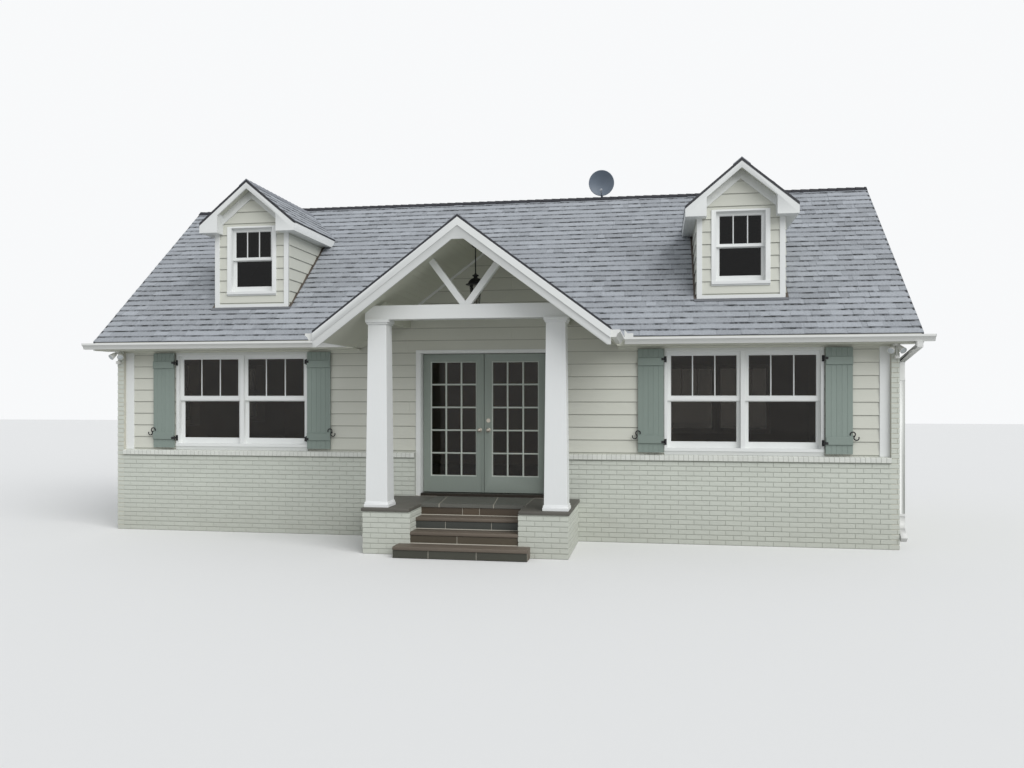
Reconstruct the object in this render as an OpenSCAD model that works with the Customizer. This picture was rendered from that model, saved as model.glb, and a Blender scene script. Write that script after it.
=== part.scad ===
// One-and-a-half-storey bungalow with two dormers and an open gabled porch.
// Millimetres, +Z up. The origin is on the ground under the middle of the
// front wall: +X runs along the front to the right, +Y runs into the house.

/* [House] */
// Width of the front wall between its outer corners
house_w = 11260; // [9300:10:13600]
// Depth between the outer faces of the front and back walls
house_d = 5620; // [5300:10:7000]
// Thickness of the framed walls
wall_t = 150; // [120:5:220]
// Thickness of the brick skin on the side walls
brick_t = 100; // [70:5:130]
// How far the painted brick base stands out from the siding
base_out = 75; // [50:5:110]
// Height of the top of the brick base
base_z = 1240; // [1000:10:1300]
// Height of the sloping course of bricks that tops the base
rowlock_h = 80; // [50:5:110]
// How far that course stands out from the base
rowlock_out = 30; // [10:5:50]
// Height of the floor indoors above the porch floor
floor_step = 40; // [20:5:60]
// Thickness of each built floor
floor_t = 250; // [150:10:320]
// Height from the floor indoors to the ceiling
room_h = 2330; // [2200:10:2340]
// Width of the corner boards
corner_board_w = 135; // [90:5:160]
// Thickness of flat trim boards
trim_t = 25; // [15:1:35]

/* [Main roof] */
// Height of the shingles straight above the front wall's outer face
roof_at_wall_z = 3174; // [3100:2:3600]
// Rise of the main roof for each 12 of run
roof_rise = 10; // [8:0.5:12]
// Thickness of the roof, shingles to rafters, measured straight down
roof_t = 205; // [150:5:260]
// How far the roof's edge stands out from the front and back walls
eave_out = 345; // [250:5:450]
// How far the roof runs past the side walls
gable_out = 236; // [120:4:400]
// Height of the soffit boards' underside
soffit_z = 2754; // [2700:2:2760]
// Thickness of the soffit boards
soffit_t = 12; // [9:1:20]
// Height of the lower edge of the frieze board
frieze_z = 2730; // [2690:2:2745]
// Width of each half of the ridge cap
ridge_cap_w = 70; // [50:5:120]
// Thickness of the ridge cap
ridge_cap_t = 14; // [8:1:25]

/* [Gutters] */
// Width of a gutter at its top
gutter_w = 110; // [90:5:150]
// Height of a gutter
gutter_h = 90; // [70:5:120]
// How far a gutter runs past the end of the roof
gutter_over = 120; // [20:5:150]
// Thickness of the gutters' metal in the model
gutter_t = 4; // [3:1:6]
// Long side of a downspout's section
spout_w = 80; // [60:5:100]
// Short side of a downspout's section
spout_d = 55; // [45:5:80]

/* [Windows] */
// Distance of a window group's middle from the house corner
window_from_corner = 1920; // [1700:10:2200]
// Width of the glass in one sash
glass_w = 917; // [700:1:950]
// Space between the two glass widths of a pair
mullion_w = 143; // [110:1:180]
// Height of the lower edge of the lower glass
glass_low_z = 1412; // [1400:2:1500]
// Height of the upper edge of the upper glass
glass_top_z = 2636; // [2500:2:2640]
// Height of the meeting rails
meeting_h = 62; // [40:2:80]
// Width of a sash's stiles
stile_w = 40; // [30:1:60]
// Height of the sash's bottom rail
bottom_rail_h = 75; // [60:1:90]
// Width of the casing round a window
casing_w = 45; // [40:1:100]
// Thickness of a window's jamb lining
jamb_t = 20; // [15:1:30]
// Thickness of a sash
sash_t = 32; // [26:1:40]
// Thickness of a pane, as one sealed unit
pane_t = 8; // [6:1:14]

/* [Shutters] */
// Width of a shutter
shutter_w = 358; // [300:2:400]
// Height of a shutter's lower edge
shutter_low_z = 1272; // [1250:2:1400]
// Height of a shutter's upper edge
shutter_top_z = 2722; // [2600:2:2728]
// Thickness of the shutter's upright boards
shutter_t = 24; // [18:1:30]
// Slant that brings a shutter's free edge back to the siding
shutter_slant = 4; // [3:0.2:8]

/* [Dormers] */
// Half width of a dormer over its corner boards
dormer_half_w = 612; // [560:2:720]
// Height of a dormer's face from the main roof up to its own ridge
dormer_face_h = 1936; // [1850:4:2100]
// Drop from the main ridge to a dormer's ridge
dormer_drop = 120; // [60:5:300]
// Rise of the dormer roof for each 12 of run
dormer_rise = 10; // [9:0.5:12]
// Thickness of the dormer roof, measured straight down
dormer_roof_t = 95; // [70:5:120]
// How far the dormer roof runs past its cheeks
dormer_side_out = 165; // [100:5:200]
// How far the dormer roof runs past its face
dormer_front_out = 180; // [100:5:240]
// Height of the dormer's boxed eave
dormer_box_h = 150; // [120:5:170]
// Thickness of the dormer's walls
dormer_wall_t = 110; // [90:5:120]
// Width of the glass in a dormer window
dormer_glass_w = 600; // [450:2:620]
// Height of each glass in a dormer window
dormer_glass_h = 418; // [320:2:440]
// Width of the casing round a dormer window
dormer_casing_w = 68; // [45:1:100]
// Drop from the dormer's ridge to the top of its window glass
dormer_glass_drop = 750; // [700:2:820]

/* [Door] */
// Centre of the door, from the middle of the house
door_x = 40; // [-200:5:200]
// Width of one leaf
leaf_w = 914; // [700:2:960]
// Height of a leaf
leaf_h = 2032; // [1980:2:2036]
// Thickness of a leaf
leaf_t = 44; // [35:1:50]
// Gap round each leaf
leaf_gap = 6; // [5:1:10]
// Width of a leaf's stiles and top rail
leaf_stile = 112; // [90:2:130]
// Height of a leaf's bottom rail
leaf_bottom_rail = 235; // [180:5:260]
// Width of the flat casing round the door
door_casing_w = 70; // [50:5:100]
// Thickness of the door's jambs and head
door_jamb_t = 32; // [25:1:45]
// Height of the knobs above the leaf's lower edge
knob_h = 915; // [860:5:1050]
// Height of the deadbolt above the knob
deadbolt_h = 140; // [110:5:170]

/* [Porch] */
// Centre of the porch, from the middle of the house
porch_x = 90; // [-200:5:200]
// Half width of the porch roof at its eaves
porch_half_w = 1900; // [1780:5:2300]
// Rise of the porch roof for each 12 of run
porch_rise = 9; // [7:0.5:10]
// Thickness of the porch roof, measured straight down
porch_roof_t = 120; // [90:5:160]
// Thickness of the boarded ceiling, measured straight down
ceiling_t = 20; // [12:1:30]
// Distance of the porch roof's front edge from the front wall
porch_roof_out = 1820; // [1700:10:2200]
// Distance of the piers' front face from the front wall
pier_out = 1500; // [1400:10:1700]
// Half width of the porch over its piers
pier_half_w = 1345; // [1250:5:1450]
// Width of a brick pier
pier_w = 630; // [500:5:700]
// Thickness of the stone slabs
slab_t = 45; // [35:1:60]
// How far a slab stands out past the brick or riser below
nosing = 22; // [10:1:35]
// Height of one riser
riser = 150; // [130:1:165]
// Depth of one tread
tread = 270; // [240:5:320]
// How far the bottom step runs past the piers' inner faces, each side
bottom_step_side = 150; // [80:5:300]

/* [Porch timber] */
// Distance of a column's centre from the porch centre
column_x = 1180; // [1100:5:1250]
// Distance of a column's centre from the front wall
column_out = 1300; // [1200:5:1400]
// Width of a column's shaft at its foot
shaft_low = 298; // [240:2:340]
// Width of a column's shaft at its neck
shaft_top = 248; // [200:2:300]
// Height of the plinth mouldings at a column's foot
column_base_h = 70; // [60:5:140]
// How far the cap stands out from the shaft. The base stands out by 0.6 of that.
column_flare = 30; // [12:1:40]
// Height of the beams' underside
beam_low_z = 3065; // [2950:5:3100]
// Height of the beams
beam_h = 185; // [150:5:240]
// Thickness of the beams
beam_t = 190; // [140:5:240]
// Width of a gable brace
brace_w = 84; // [60:2:100]
// Thickness of a gable brace
brace_t = 90; // [60:5:120]
// Depth of the upper rake board, measured straight down
rake_upper_h = 128; // [100:2:150]
// Depth of both rake boards together, measured straight down
rake_h = 240; // [200:2:300]
// Width of the flat cut under the rake boards' meeting
rake_cut_w = 150; // [120:5:300]

/* [Fittings] */
// Width of the lantern
lantern_w = 270; // [180:5:320]
// Height of the lantern's body
lantern_h = 430; // [300:5:460]
// Length of the rod from the ceiling to the lantern
lantern_rod = 400; // [200:10:450]
// Distance of the lantern from the front wall
lantern_out = 750; // [500:10:900]
// Width of the dish
dish_w = 450; // [400:10:600]

/* [Hidden] */
$fn = 32;

big = 20000;
// Clearance between pieces that only rest near each other
seat_gap = 0.3;
half_w = house_w / 2;
brick_x = half_w + brick_t;
ridge_y = house_d / 2;
roof_half_l = brick_x + gable_out;
roof_slope = roof_rise / 12;
dormer_slope = dormer_rise / 12;
porch_slope = porch_rise / 12;

function roof_z(y) = roof_at_wall_z + min(y, house_d - y) * roof_slope;
function under_z(y) = roof_z(y) - roof_t;
ridge_z = roof_z(ridge_y);
eave_z = roof_z(-eave_out);
fascia_y = -(eave_out - trim_t);
// Thickness of the shingles and deck that show above the fascia
shingle_edge = 25;
rake_low_y = (soffit_z - (roof_at_wall_z - roof_t - shingle_edge)) / roof_slope;
gutter_z = eave_z - shingle_edge;
splash_w = 120;
splash_h = 105;
rowlock_fall = 12;

porch_floor_z = 4 * riser;
floor_z = porch_floor_z + floor_step;
ceiling_z = floor_z + room_h;
upper_floor_t = min(floor_t, under_z(wall_t) - ceiling_z);

window_x = half_w - window_from_corner;
meeting_z = (glass_low_z + glass_top_z) / 2;
window_foot_z = glass_low_z - bottom_rail_h;
window_sill_h = 45;
window_sill_out = 40;
top_rail_h = 45;

dormer_ridge_z = ridge_z - dormer_drop;
dormer_y = (dormer_ridge_z - dormer_face_h - roof_at_wall_z) / roof_slope;
dormer_edge = dormer_half_w + dormer_side_out;
dormer_eave_z = dormer_ridge_z - dormer_edge * dormer_slope;
dormer_box_z = dormer_eave_z - dormer_box_h;
dormer_glass_top_z = dormer_ridge_z - dormer_glass_drop;
dormer_meeting_h = 36;
dormer_glass_low_z = dormer_glass_top_z - 2 * dormer_glass_h - dormer_meeting_h;
dormer_rake_h = 130;
dormer_frieze_h = 240;
dormer_edge_t = 22;
dormer_corner_w = 76;
return_x = dormer_half_w - 130;
function dormer_top(x) = dormer_ridge_z - abs(x) * dormer_slope;

side_window_y = [house_d * 0.27, house_d * 0.73];
side_glass_w = dormer_glass_w + 100;
side_glass_low_z = 1640;
gable_glass_top_z = under_z(ridge_y) - 750;
gable_glass_low_z = gable_glass_top_z - 860;

casing_half = hole_half(2) - jamb_t + casing_w;
upper_sash_y = 36;
shutter_gap = 6;
shutter_hinge_y = -(shutter_w * sin(shutter_slant) + trim_t);
batten_h = 110;
batten_t = 20;
batten_from_end = 125;
// Middle radius and width of the curled bar that a shutter dog is made of
dog_r = 33;
dog_w = 15;

leaf_z = floor_z + 8;
opening_half = leaf_w + 1.5 * leaf_gap;
opening_top = leaf_z + leaf_h + leaf_gap;
leaf_y = wall_t - leaf_gap - leaf_t;
hinge_y = wall_t + 2;
door_hole_half = opening_half + door_jamb_t;
door_hole_top = opening_top + door_jamb_t;
door_casing_x = opening_half + leaf_gap + door_casing_w;
threshold_out = 40;
// Heights of the middles of a leaf's three hinges, above its lower edge
hinge_at = [200, leaf_h / 2, leaf_h - 180];
knuckle_r = 6;
knuckle_h = 34;
joint_strip_w = 26;
joint_strip_t = 12;
knob_from_edge = 62;

porch_ridge_z = eave_z + porch_half_w * porch_slope;
function porch_top(x) = porch_ridge_z - abs(x) * porch_slope;
function porch_under(x) = porch_top(x) - porch_roof_t;
function ceiling_under(x) = porch_under(x) - ceiling_t;
valley_half = (porch_ridge_z - roof_z(wall_t)) / porch_slope;
valley_y = (porch_ridge_z - roof_at_wall_z) / roof_slope;
pier_inner = pier_half_w - pier_w;
floor_front = pier_out - 2 * tread;
column_h = beam_low_z - porch_floor_z;
beam_out = column_x + beam_t / 2 + 80;
side_beam_t = 100;
upper_rake_t = 18;
// How far the lower rake board's foot is cut up, level
rake_foot = 35;

// Extrudes an outline of [y, z] points from x0 to x1.
module along_x(x0, x1, outline) {
    translate([x0, 0, 0]) rotate([90, 0, 90]) linear_extrude(x1 - x0) polygon(outline);
}

// Extrudes an outline of [x, z] points from y0 to y1.
module along_y(y0, y1, outline) {
    translate([0, y1, 0]) rotate([90, 0, 0]) linear_extrude(y1 - y0) polygon(outline);
}

// Extrudes an outline of [x, y] points from z0 to z1.
module along_z(z0, z1, outline) {
    translate([0, 0, z0]) linear_extrude(z1 - z0) polygon(outline);
}

// A box between two corners.
module block(low, high) {
    translate(low) cube(high - low);
}

// The same piece on the left and the right of x = at.
module both_sides(at = 0) {
    for (s = [-1, 1]) translate([at, 0, 0]) mirrored_if_negative(s) children();
}

module mirrored_if_negative(s) {
    if (s > 0) children();
    else mirror([1, 0, 0]) children();
}

// Walls

// A length of framed front wall whose top follows the underside of the roof.
module framed_front(x0, x1, z0) {
    along_x(x0, x1, [[0, z0], [wall_t, z0], [wall_t, under_z(wall_t)], [0, under_z(0)]]);
}

// Outline of a window's hole for n sashes side by side.
function hole_half(n, gw = glass_w) = (n * gw + (n - 1) * mullion_w) / 2 + stile_w + jamb_t;

module window_hole(n, low, top, gw = glass_w, depth = wall_t) {
    h = hole_half(n, gw);
    block([-h, -1, low - bottom_rail_h - jamb_t], [h, depth + 1, top + top_rail_h + jamb_t]);
}

module front_wall_side(s) {
    inner = door_hole_half;
    difference() {
        if (s < 0) framed_front(-half_w, door_x - inner, 0);
        else framed_front(door_x + inner, half_w, 0);
        translate([s * window_x, 0, 0]) window_hole(2, glass_low_z, glass_top_z);
    }
}

module front_wall_left() { color("#bdbcab") front_wall_side(-1); }

module front_wall_right() { color("#bdbcab") front_wall_side(1); }

module front_wall_over_door() {
    color("#bdbcab") framed_front(door_x - door_hole_half, door_x + door_hole_half, door_hole_top);
}

// The siding inside the porch gable, from the wall's top up to the boarded ceiling.
module porch_gable_wall() {
    color("#bdbcab") difference() {
        translate([porch_x, 0, 0]) along_y(0, wall_t, [
            [-valley_half, under_z(0)], [valley_half, under_z(0)],
            [valley_half, ceiling_under(valley_half)], [0, ceiling_under(0)],
            [-valley_half, ceiling_under(valley_half)]
        ]);
        along_x(-big, big, [
            [-1, 0], [wall_t + 1, 0], [wall_t + 1, under_z(wall_t + 1) + seat_gap], [-1, under_z(-1) + seat_gap]
        ]);
    }
}

// Outline of a side wall, up to the underside of the roof.
function gable_outline(y0) = [
    [y0, 0], [y0, soffit_z], [max(y0, 0), soffit_z], [max(y0, 0), under_z(max(y0, 0))],
    [ridge_y, under_z(ridge_y)], [house_d - max(y0, 0), under_z(max(y0, 0))],
    [house_d - max(y0, 0), soffit_z], [house_d - y0, soffit_z], [house_d - y0, 0]
];

// Turns a window made for the front wall onto the right-hand side wall.
module on_side_wall(y) {
    translate([brick_x, y, 0]) rotate([0, 0, 90]) children();
}

module side_wall() {
    thick = brick_t + wall_t;
    difference() {
        union() {
            along_x(half_w, brick_x, gable_outline(-base_out));
            along_x(half_w - wall_t, half_w, [
                [wall_t, 0], [wall_t, under_z(wall_t)], [ridge_y, under_z(ridge_y)],
                [house_d - wall_t, under_z(wall_t)], [house_d - wall_t, 0]
            ]);
        }
        for (y = side_window_y)
            on_side_wall(y) window_hole(1, side_glass_low_z, glass_top_z, side_glass_w, thick);
        on_side_wall(ridge_y) window_hole(1, gable_glass_low_z, gable_glass_top_z, side_glass_w, thick);
    }
}

module left_side_wall() { color("#cdd0c6") mirror([1, 0, 0]) side_wall(); }

module right_side_wall() { color("#cdd0c6") side_wall(); }

// Turns a piece made for the front wall onto the back wall.
module on_back_wall(x) {
    translate([x, house_d, 0]) rotate([0, 0, 180]) children();
}

module back_wall() {
    color("#bdbcab") difference() {
        translate([0, house_d, 0]) mirror([0, 1, 0]) framed_front(-half_w, half_w, 0);
        for (x = [-window_x, window_x]) on_back_wall(x) window_hole(2, glass_low_z, glass_top_z);
    }
}

// Painted brick below the siding, front and back, stopping at the door's casing.
module brick_base() {
    top = base_z - rowlock_h;
    color("#cdd0c6") {
        block([-half_w, -base_out, 0], [door_x - door_casing_x, 0, top]);
        block([door_x + door_casing_x, -base_out, 0], [half_w, 0, top]);
        block([-half_w, house_d, 0], [half_w, house_d + base_out, top]);
        // The foundation carries on under the doorway, as high as the porch floor.
        block([door_x - door_casing_x, -base_out, 0], [door_x + door_casing_x, 0, porch_floor_z - slab_t]);
        block([door_x - door_hole_half, 0, 0], [door_x + door_hole_half, wall_t, porch_floor_z]);
    }
}

// The tilted course of bricks on the base. Its top falls outwards.
module rowlock(x0, x1) {
    low = base_z - rowlock_h;
    out = base_out + rowlock_out;
    along_x(x0, x1, [[0, low], [0, base_z], [-out, base_z - rowlock_fall], [-out, low]]);
}

module rowlock_course() {
    color("#d3d5cc") {
        rowlock(-half_w, door_x - door_casing_x);
        rowlock(door_x + door_casing_x, half_w);
        translate([0, house_d, 0]) mirror([0, 1, 0]) rowlock(-half_w, half_w);
    }
}

module corner_boards() {
    color("white") for (x = [-1, 1]) {
        mirrored_if_negative(x) {
            block([half_w - corner_board_w, -trim_t, base_z], [half_w, 0, frieze_z]);
            block([half_w - corner_board_w, house_d, base_z], [half_w, house_d + trim_t, frieze_z]);
        }
    }
}

// Floors

module ground_floor() {
    color("#8a6f52") block(
        [-half_w + wall_t, wall_t, floor_z - floor_t], [half_w - wall_t, house_d - wall_t, floor_z]
    );
}

module upper_floor() {
    y0 = wall_t;
    color("#8a6f52") block(
        [-half_w + wall_t, y0, ceiling_z], [half_w - wall_t, house_d - y0, ceiling_z + upper_floor_t]
    );
}

// Main roof

// One slope, with a plumb end and a level cut where the soffit is nailed.
module roof_slope_solid(half_l) {
    cut_z = soffit_z + soffit_t;
    cut_y = -(roof_at_wall_z - roof_t - cut_z) / roof_slope;
    along_x(-half_l, half_l, [
        [-eave_out, eave_z], [ridge_y, ridge_z], [ridge_y, ridge_z - roof_t],
        [cut_y, cut_z], [fascia_y, cut_z], [fascia_y, eave_z - shingle_edge], [-eave_out, eave_z - shingle_edge]
    ]);
}

// Plan outline of the part of the front slope that the porch roof takes over.
function valley_outline(back, inset = 0) = let (
    h = (porch_ridge_z - roof_z(back)) / porch_slope - inset, w = porch_half_w - inset
) [
    [porch_x - w - 1, -big], [porch_x + w + 1, -big], [porch_x + w + 1, -eave_out - 1], [porch_x + w, -eave_out],
    [porch_x + h, back], [porch_x - h, back], [porch_x - w, -eave_out], [porch_x - w - 1, -eave_out - 1]
];

module main_roof_front() {
    inside = dormer_half_w - dormer_wall_t;
    color("#7d7e86") difference() {
        roof_slope_solid(roof_half_l - trim_t);
        along_z(0, 2 * ridge_z, valley_outline(wall_t));
        for (x = [-window_x, window_x])
            block([x - inside, dormer_y + dormer_wall_t, 0], [x + inside, dormer_back_y(inside), 2 * ridge_z]);
    }
}

// Where the main roof's top reaches the underside of the dormer roof.
function dormer_back_y(x) = (dormer_top(x) - dormer_roof_t - roof_at_wall_z) / roof_slope;

module main_roof_back() {
    color("#7d7e86") translate([0, house_d, 0]) mirror([0, 1, 0]) roof_slope_solid(roof_half_l - trim_t);
}

module ridge_cap() {
    drop = ridge_cap_w * roof_slope;
    color("#33343a") translate([0, 0, seat_gap]) along_x(-roof_half_l, roof_half_l, [
        [ridge_y - ridge_cap_w, ridge_z - drop], [ridge_y, ridge_z], [ridge_y + ridge_cap_w, ridge_z - drop],
        [ridge_y + ridge_cap_w, ridge_z - drop + ridge_cap_t], [ridge_y, ridge_z + ridge_cap_t],
        [ridge_y - ridge_cap_w, ridge_z - drop + ridge_cap_t]
    ]);
}

// Fascia, soffit and frieze of one stretch of eave.
module eave(x0, x1, frieze_0, frieze_1) {
    block([x0, -eave_out, soffit_z], [x1, fascia_y, eave_z - shingle_edge]);
    block([x0, fascia_y, soffit_z], [x1, 0, soffit_z + soffit_t]);
    block([frieze_0, -trim_t, frieze_z], [frieze_1, 0, soffit_z]);
}

module eaves() {
    end = roof_half_l - trim_t;
    left = porch_x - porch_half_w;
    right = porch_x + porch_half_w;
    color("#c9c8b8") {
        eave(-end, left, -half_w, left);
        eave(right, end, right, half_w);
        translate([0, house_d, 0]) mirror([0, 1, 0]) eave(-end, end, -half_w, half_w);
    }
}

// White boards that follow the slopes at both gable ends.
module gable_rake_boards() {
    x1 = roof_half_l;
    top = shingle_edge;
    color("white") both_sides() along_x(x1 - trim_t, x1, [
        [-eave_out, soffit_z], [-eave_out, eave_z - top], [ridge_y, ridge_z - top],
        [house_d + eave_out, eave_z - top], [house_d + eave_out, soffit_z],
        [house_d - rake_low_y, soffit_z], [ridge_y, ridge_z - roof_t - top],
        [rake_low_y, soffit_z]
    ]);
}

// Dormers. Each is modelled round x = 0.

module below_main_roof() {
    along_x(-big, big, [[-big, -big], [big, -big], [big, roof_at_wall_z + big * roof_slope],
        [-big, roof_at_wall_z - big * roof_slope]]);
}

// The same piece over both window groups.
module at_dormers() {
    for (x = [-window_x, window_x]) translate([x, 0, 0]) children();
}

module dormer_shell() {
    back = dormer_back_y(0) + dormer_roof_t / roof_slope;
    top = function (x) dormer_top(x) - dormer_roof_t - seat_gap;
    difference() {
        union() {
            difference() {
                along_y(dormer_y, dormer_y + dormer_wall_t, [
                    [-dormer_half_w, 0], [dormer_half_w, 0], [dormer_half_w, top(dormer_half_w)],
                    [0, top(0)], [-dormer_half_w, top(dormer_half_w)]
                ]);
                translate([0, dormer_y, 0])
                    window_hole(1, dormer_glass_low_z, dormer_glass_top_z, dormer_glass_w, dormer_wall_t);
            }
            both_sides() along_y(dormer_y + dormer_wall_t, back, [
                [dormer_half_w - dormer_wall_t, 0], [dormer_half_w, 0], [dormer_half_w, top(dormer_half_w)],
                [dormer_half_w - dormer_wall_t, top(dormer_half_w - dormer_wall_t)]
            ]);
        }
        below_main_roof();
    }
}

module dormer_walls() { color("#bdbcab") at_dormers() dormer_shell(); }

module dormer_slopes() {
    y0 = dormer_y - dormer_front_out;
    e = dormer_edge;
    low = dormer_eave_z;
    difference() {
        along_y(y0, ridge_y - ridge_cap_w - seat_gap, [
            [-e, low], [0, dormer_ridge_z], [e, low], [e, low - dormer_edge_t], [e - trim_t, low - dormer_edge_t],
            [e - trim_t, dormer_top(e - trim_t) - dormer_roof_t], [0, dormer_ridge_z - dormer_roof_t],
            [-e + trim_t, dormer_top(e - trim_t) - dormer_roof_t], [-e + trim_t, low - dormer_edge_t], [-e, low - dormer_edge_t]
        ]);
        below_main_roof();
    }
}

module dormer_roofs() { color("#7d7e86") at_dormers() dormer_slopes(); }

// Boxed eaves, returns, rake and frieze boards, corner boards and foot board of a dormer.
module dormer_boards() {
    e = dormer_edge;
    y0 = dormer_y - dormer_front_out;
    low = dormer_box_z;
    edge_z = dormer_eave_z - dormer_edge_t;
    frieze_x = return_x + 1;
    under = function (x) dormer_top(x) - dormer_roof_t - seat_gap;
    difference() {
        union() {
            both_sides() {
                along_y(y0 - trim_t, ridge_y, [[e - trim_t, low], [e, low], [e, edge_z], [e - trim_t, edge_z]]);
                along_y(y0 - trim_t, ridge_y, [
                    [dormer_half_w, low], [e - trim_t, low], [e - trim_t, low + soffit_t], [dormer_half_w, low + soffit_t]
                ]);
                along_y(y0 - trim_t, dormer_y, [
                    [return_x, low], [e - trim_t, low], [e - trim_t, under(e - trim_t)], [return_x, under(return_x)]
                ]);
            }
            along_y(y0 - trim_t, y0, [
                [-e, edge_z], [0, dormer_ridge_z - dormer_edge_t], [e, edge_z], [e, low], [return_x, low],
                [return_x, dormer_top(return_x) - dormer_rake_h], [0, dormer_ridge_z - dormer_rake_h],
                [-return_x, dormer_top(return_x) - dormer_rake_h], [-return_x, low], [-e, low]
            ]);
            both_sides() along_y(dormer_y - trim_t, dormer_y, [
                [dormer_half_w - dormer_corner_w, 0], [dormer_half_w, 0], [dormer_half_w, low], [dormer_half_w - dormer_corner_w, low]
            ]);
            block([-dormer_half_w, dormer_y - trim_t, 0], [dormer_half_w, dormer_y, roof_z(dormer_y) + 40]);
            along_y(dormer_y - trim_t, dormer_y, [
                [-frieze_x, under(frieze_x)], [0, under(0)], [frieze_x, under(frieze_x)],
                [frieze_x, dormer_top(frieze_x) - dormer_frieze_h], [0, dormer_ridge_z - dormer_frieze_h],
                [-frieze_x, dormer_top(frieze_x) - dormer_frieze_h]
            ]);
        }
        below_main_roof();
    }
}

module dormer_trim() { color("white") at_dormers() dormer_boards(); }

// Windows

// A double-hung window of n sash pairs, made round x = 0 with the wall's face at y = 0.
module double_hung(n, low, top, gw, meet_h, depth, head_h, apron_h, case_w = casing_w) {
    h = hole_half(n, gw);
    z0 = low - bottom_rail_h;
    z1 = top + top_rail_h;
    mid = (low + top) / 2;
    inner = h - jamb_t;
    upper_y = upper_sash_y;
    lower_y = upper_y + sash_t;
    pitch_x = gw + mullion_w;
    first = -(n - 1) * pitch_x / 2;
    difference() {
        block([-h, 0, z0 - jamb_t], [h, depth, z1 + jamb_t]);
        block([-inner, -1, z0], [inner, depth + 1, z1]);
    }
    if (n > 1) block([-mullion_w / 2 + stile_w, 0, z0], [mullion_w / 2 - stile_w, depth, z1]);
    for (k = [0:n - 1]) translate([first + k * pitch_x, 0, 0]) {
        difference() {
            block([-gw / 2 - stile_w, upper_y, mid - meet_h / 2], [gw / 2 + stile_w, lower_y, z1]);
            block([-gw / 2, upper_y - 1, mid + meet_h / 2], [gw / 2, lower_y + 1, top]);
        }
        difference() {
            block([-gw / 2 - stile_w, lower_y, z0], [gw / 2 + stile_w, lower_y + sash_t, mid + meet_h / 2]);
            block([-gw / 2, lower_y - 1, low], [gw / 2, lower_y + sash_t + 1, mid - meet_h / 2]);
        }
    }
    out = inner + case_w;
    difference() {
        block([-out, -trim_t, z0 - window_sill_h - apron_h], [out, 0, z1 + head_h]);
        block([-inner, -trim_t - 1, z0], [inner, 1, z1]);
    }
    block([-out, -window_sill_out, z0 - window_sill_h], [out, 0, z0]);
}

// The panes of that window.
module panes(n, low, top, gw, meet_h) {
    mid = (low + top) / 2;
    upper_y = upper_sash_y + (sash_t - pane_t) / 2;
    lower_y = upper_y + sash_t;
    pitch_x = gw + mullion_w;
    for (k = [0:n - 1]) translate([(k - (n - 1) / 2) * pitch_x, 0, 0]) {
        block([-gw / 2, upper_y, mid + meet_h / 2], [gw / 2, upper_y + pane_t, top]);
        block([-gw / 2, lower_y, low], [gw / 2, lower_y + pane_t, mid - meet_h / 2]);
    }
}

module front_window() {
    double_hung(2, glass_low_z, glass_top_z, glass_w, meeting_h, wall_t,
        frieze_z - glass_top_z - top_rail_h, window_foot_z - window_sill_h - base_z);
}

module front_windows() {
    color("white") for (x = [-window_x, window_x]) translate([x, 0, 0]) front_window();
}

module back_windows() {
    color("white") for (x = [-window_x, window_x]) on_back_wall(x) front_window();
}

module side_windows() {
    thick = brick_t + wall_t;
    color("white") both_sides() {
        for (y = side_window_y) on_side_wall(y)
            double_hung(1, side_glass_low_z, glass_top_z, side_glass_w, meeting_h, thick, 40, 0);
        on_side_wall(ridge_y)
            double_hung(1, gable_glass_low_z, gable_glass_top_z, side_glass_w, meeting_h, thick, 40, 0);
    }
}

module dormer_windows() {
    color("white") for (x = [-window_x, window_x]) translate([x, dormer_y, 0])
        double_hung(1, dormer_glass_low_z, dormer_glass_top_z, dormer_glass_w, dormer_meeting_h,
            dormer_wall_t, 28, 20, dormer_casing_w);
}

module ground_floor_glass() {
    color("#9fb0b4") {
        for (x = [-window_x, window_x]) {
            translate([x, 0, 0]) panes(2, glass_low_z, glass_top_z, glass_w, meeting_h);
            on_back_wall(x) panes(2, glass_low_z, glass_top_z, glass_w, meeting_h);
        }
        both_sides() for (y = side_window_y) on_side_wall(y)
            panes(1, side_glass_low_z, glass_top_z, side_glass_w, meeting_h);
    }
}

module upper_floor_glass() {
    color("#9fb0b4") {
        for (x = [-window_x, window_x]) translate([x, dormer_y, 0])
            panes(1, dormer_glass_low_z, dormer_glass_top_z, dormer_glass_w, dormer_meeting_h);
        both_sides() on_side_wall(ridge_y)
            panes(1, gable_glass_low_z, gable_glass_top_z, side_glass_w, meeting_h);
    }
}

// Shutters. Each hangs at the casing's outer edge and leans back to the siding.

module shutter() {
    translate([shutter_gap, shutter_hinge_y, 0]) rotate([0, 0, shutter_slant]) {
        block([0, -shutter_t, shutter_low_z], [shutter_w, 0, shutter_top_z]);
        for (z = [shutter_low_z + batten_from_end, shutter_top_z - batten_from_end - batten_h])
            block([0, -shutter_t - batten_t, z], [shutter_w, -shutter_t, z + batten_h]);
    }
}

// One window's pair of places where a shutter hangs.
module at_shutters() {
    for (x = [-window_x, window_x]) translate([x, 0, 0]) both_sides() translate([casing_half, 0, 0]) children();
}

module front_shutters() { color("#7a8c8a") at_shutters() shutter(); }

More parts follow.
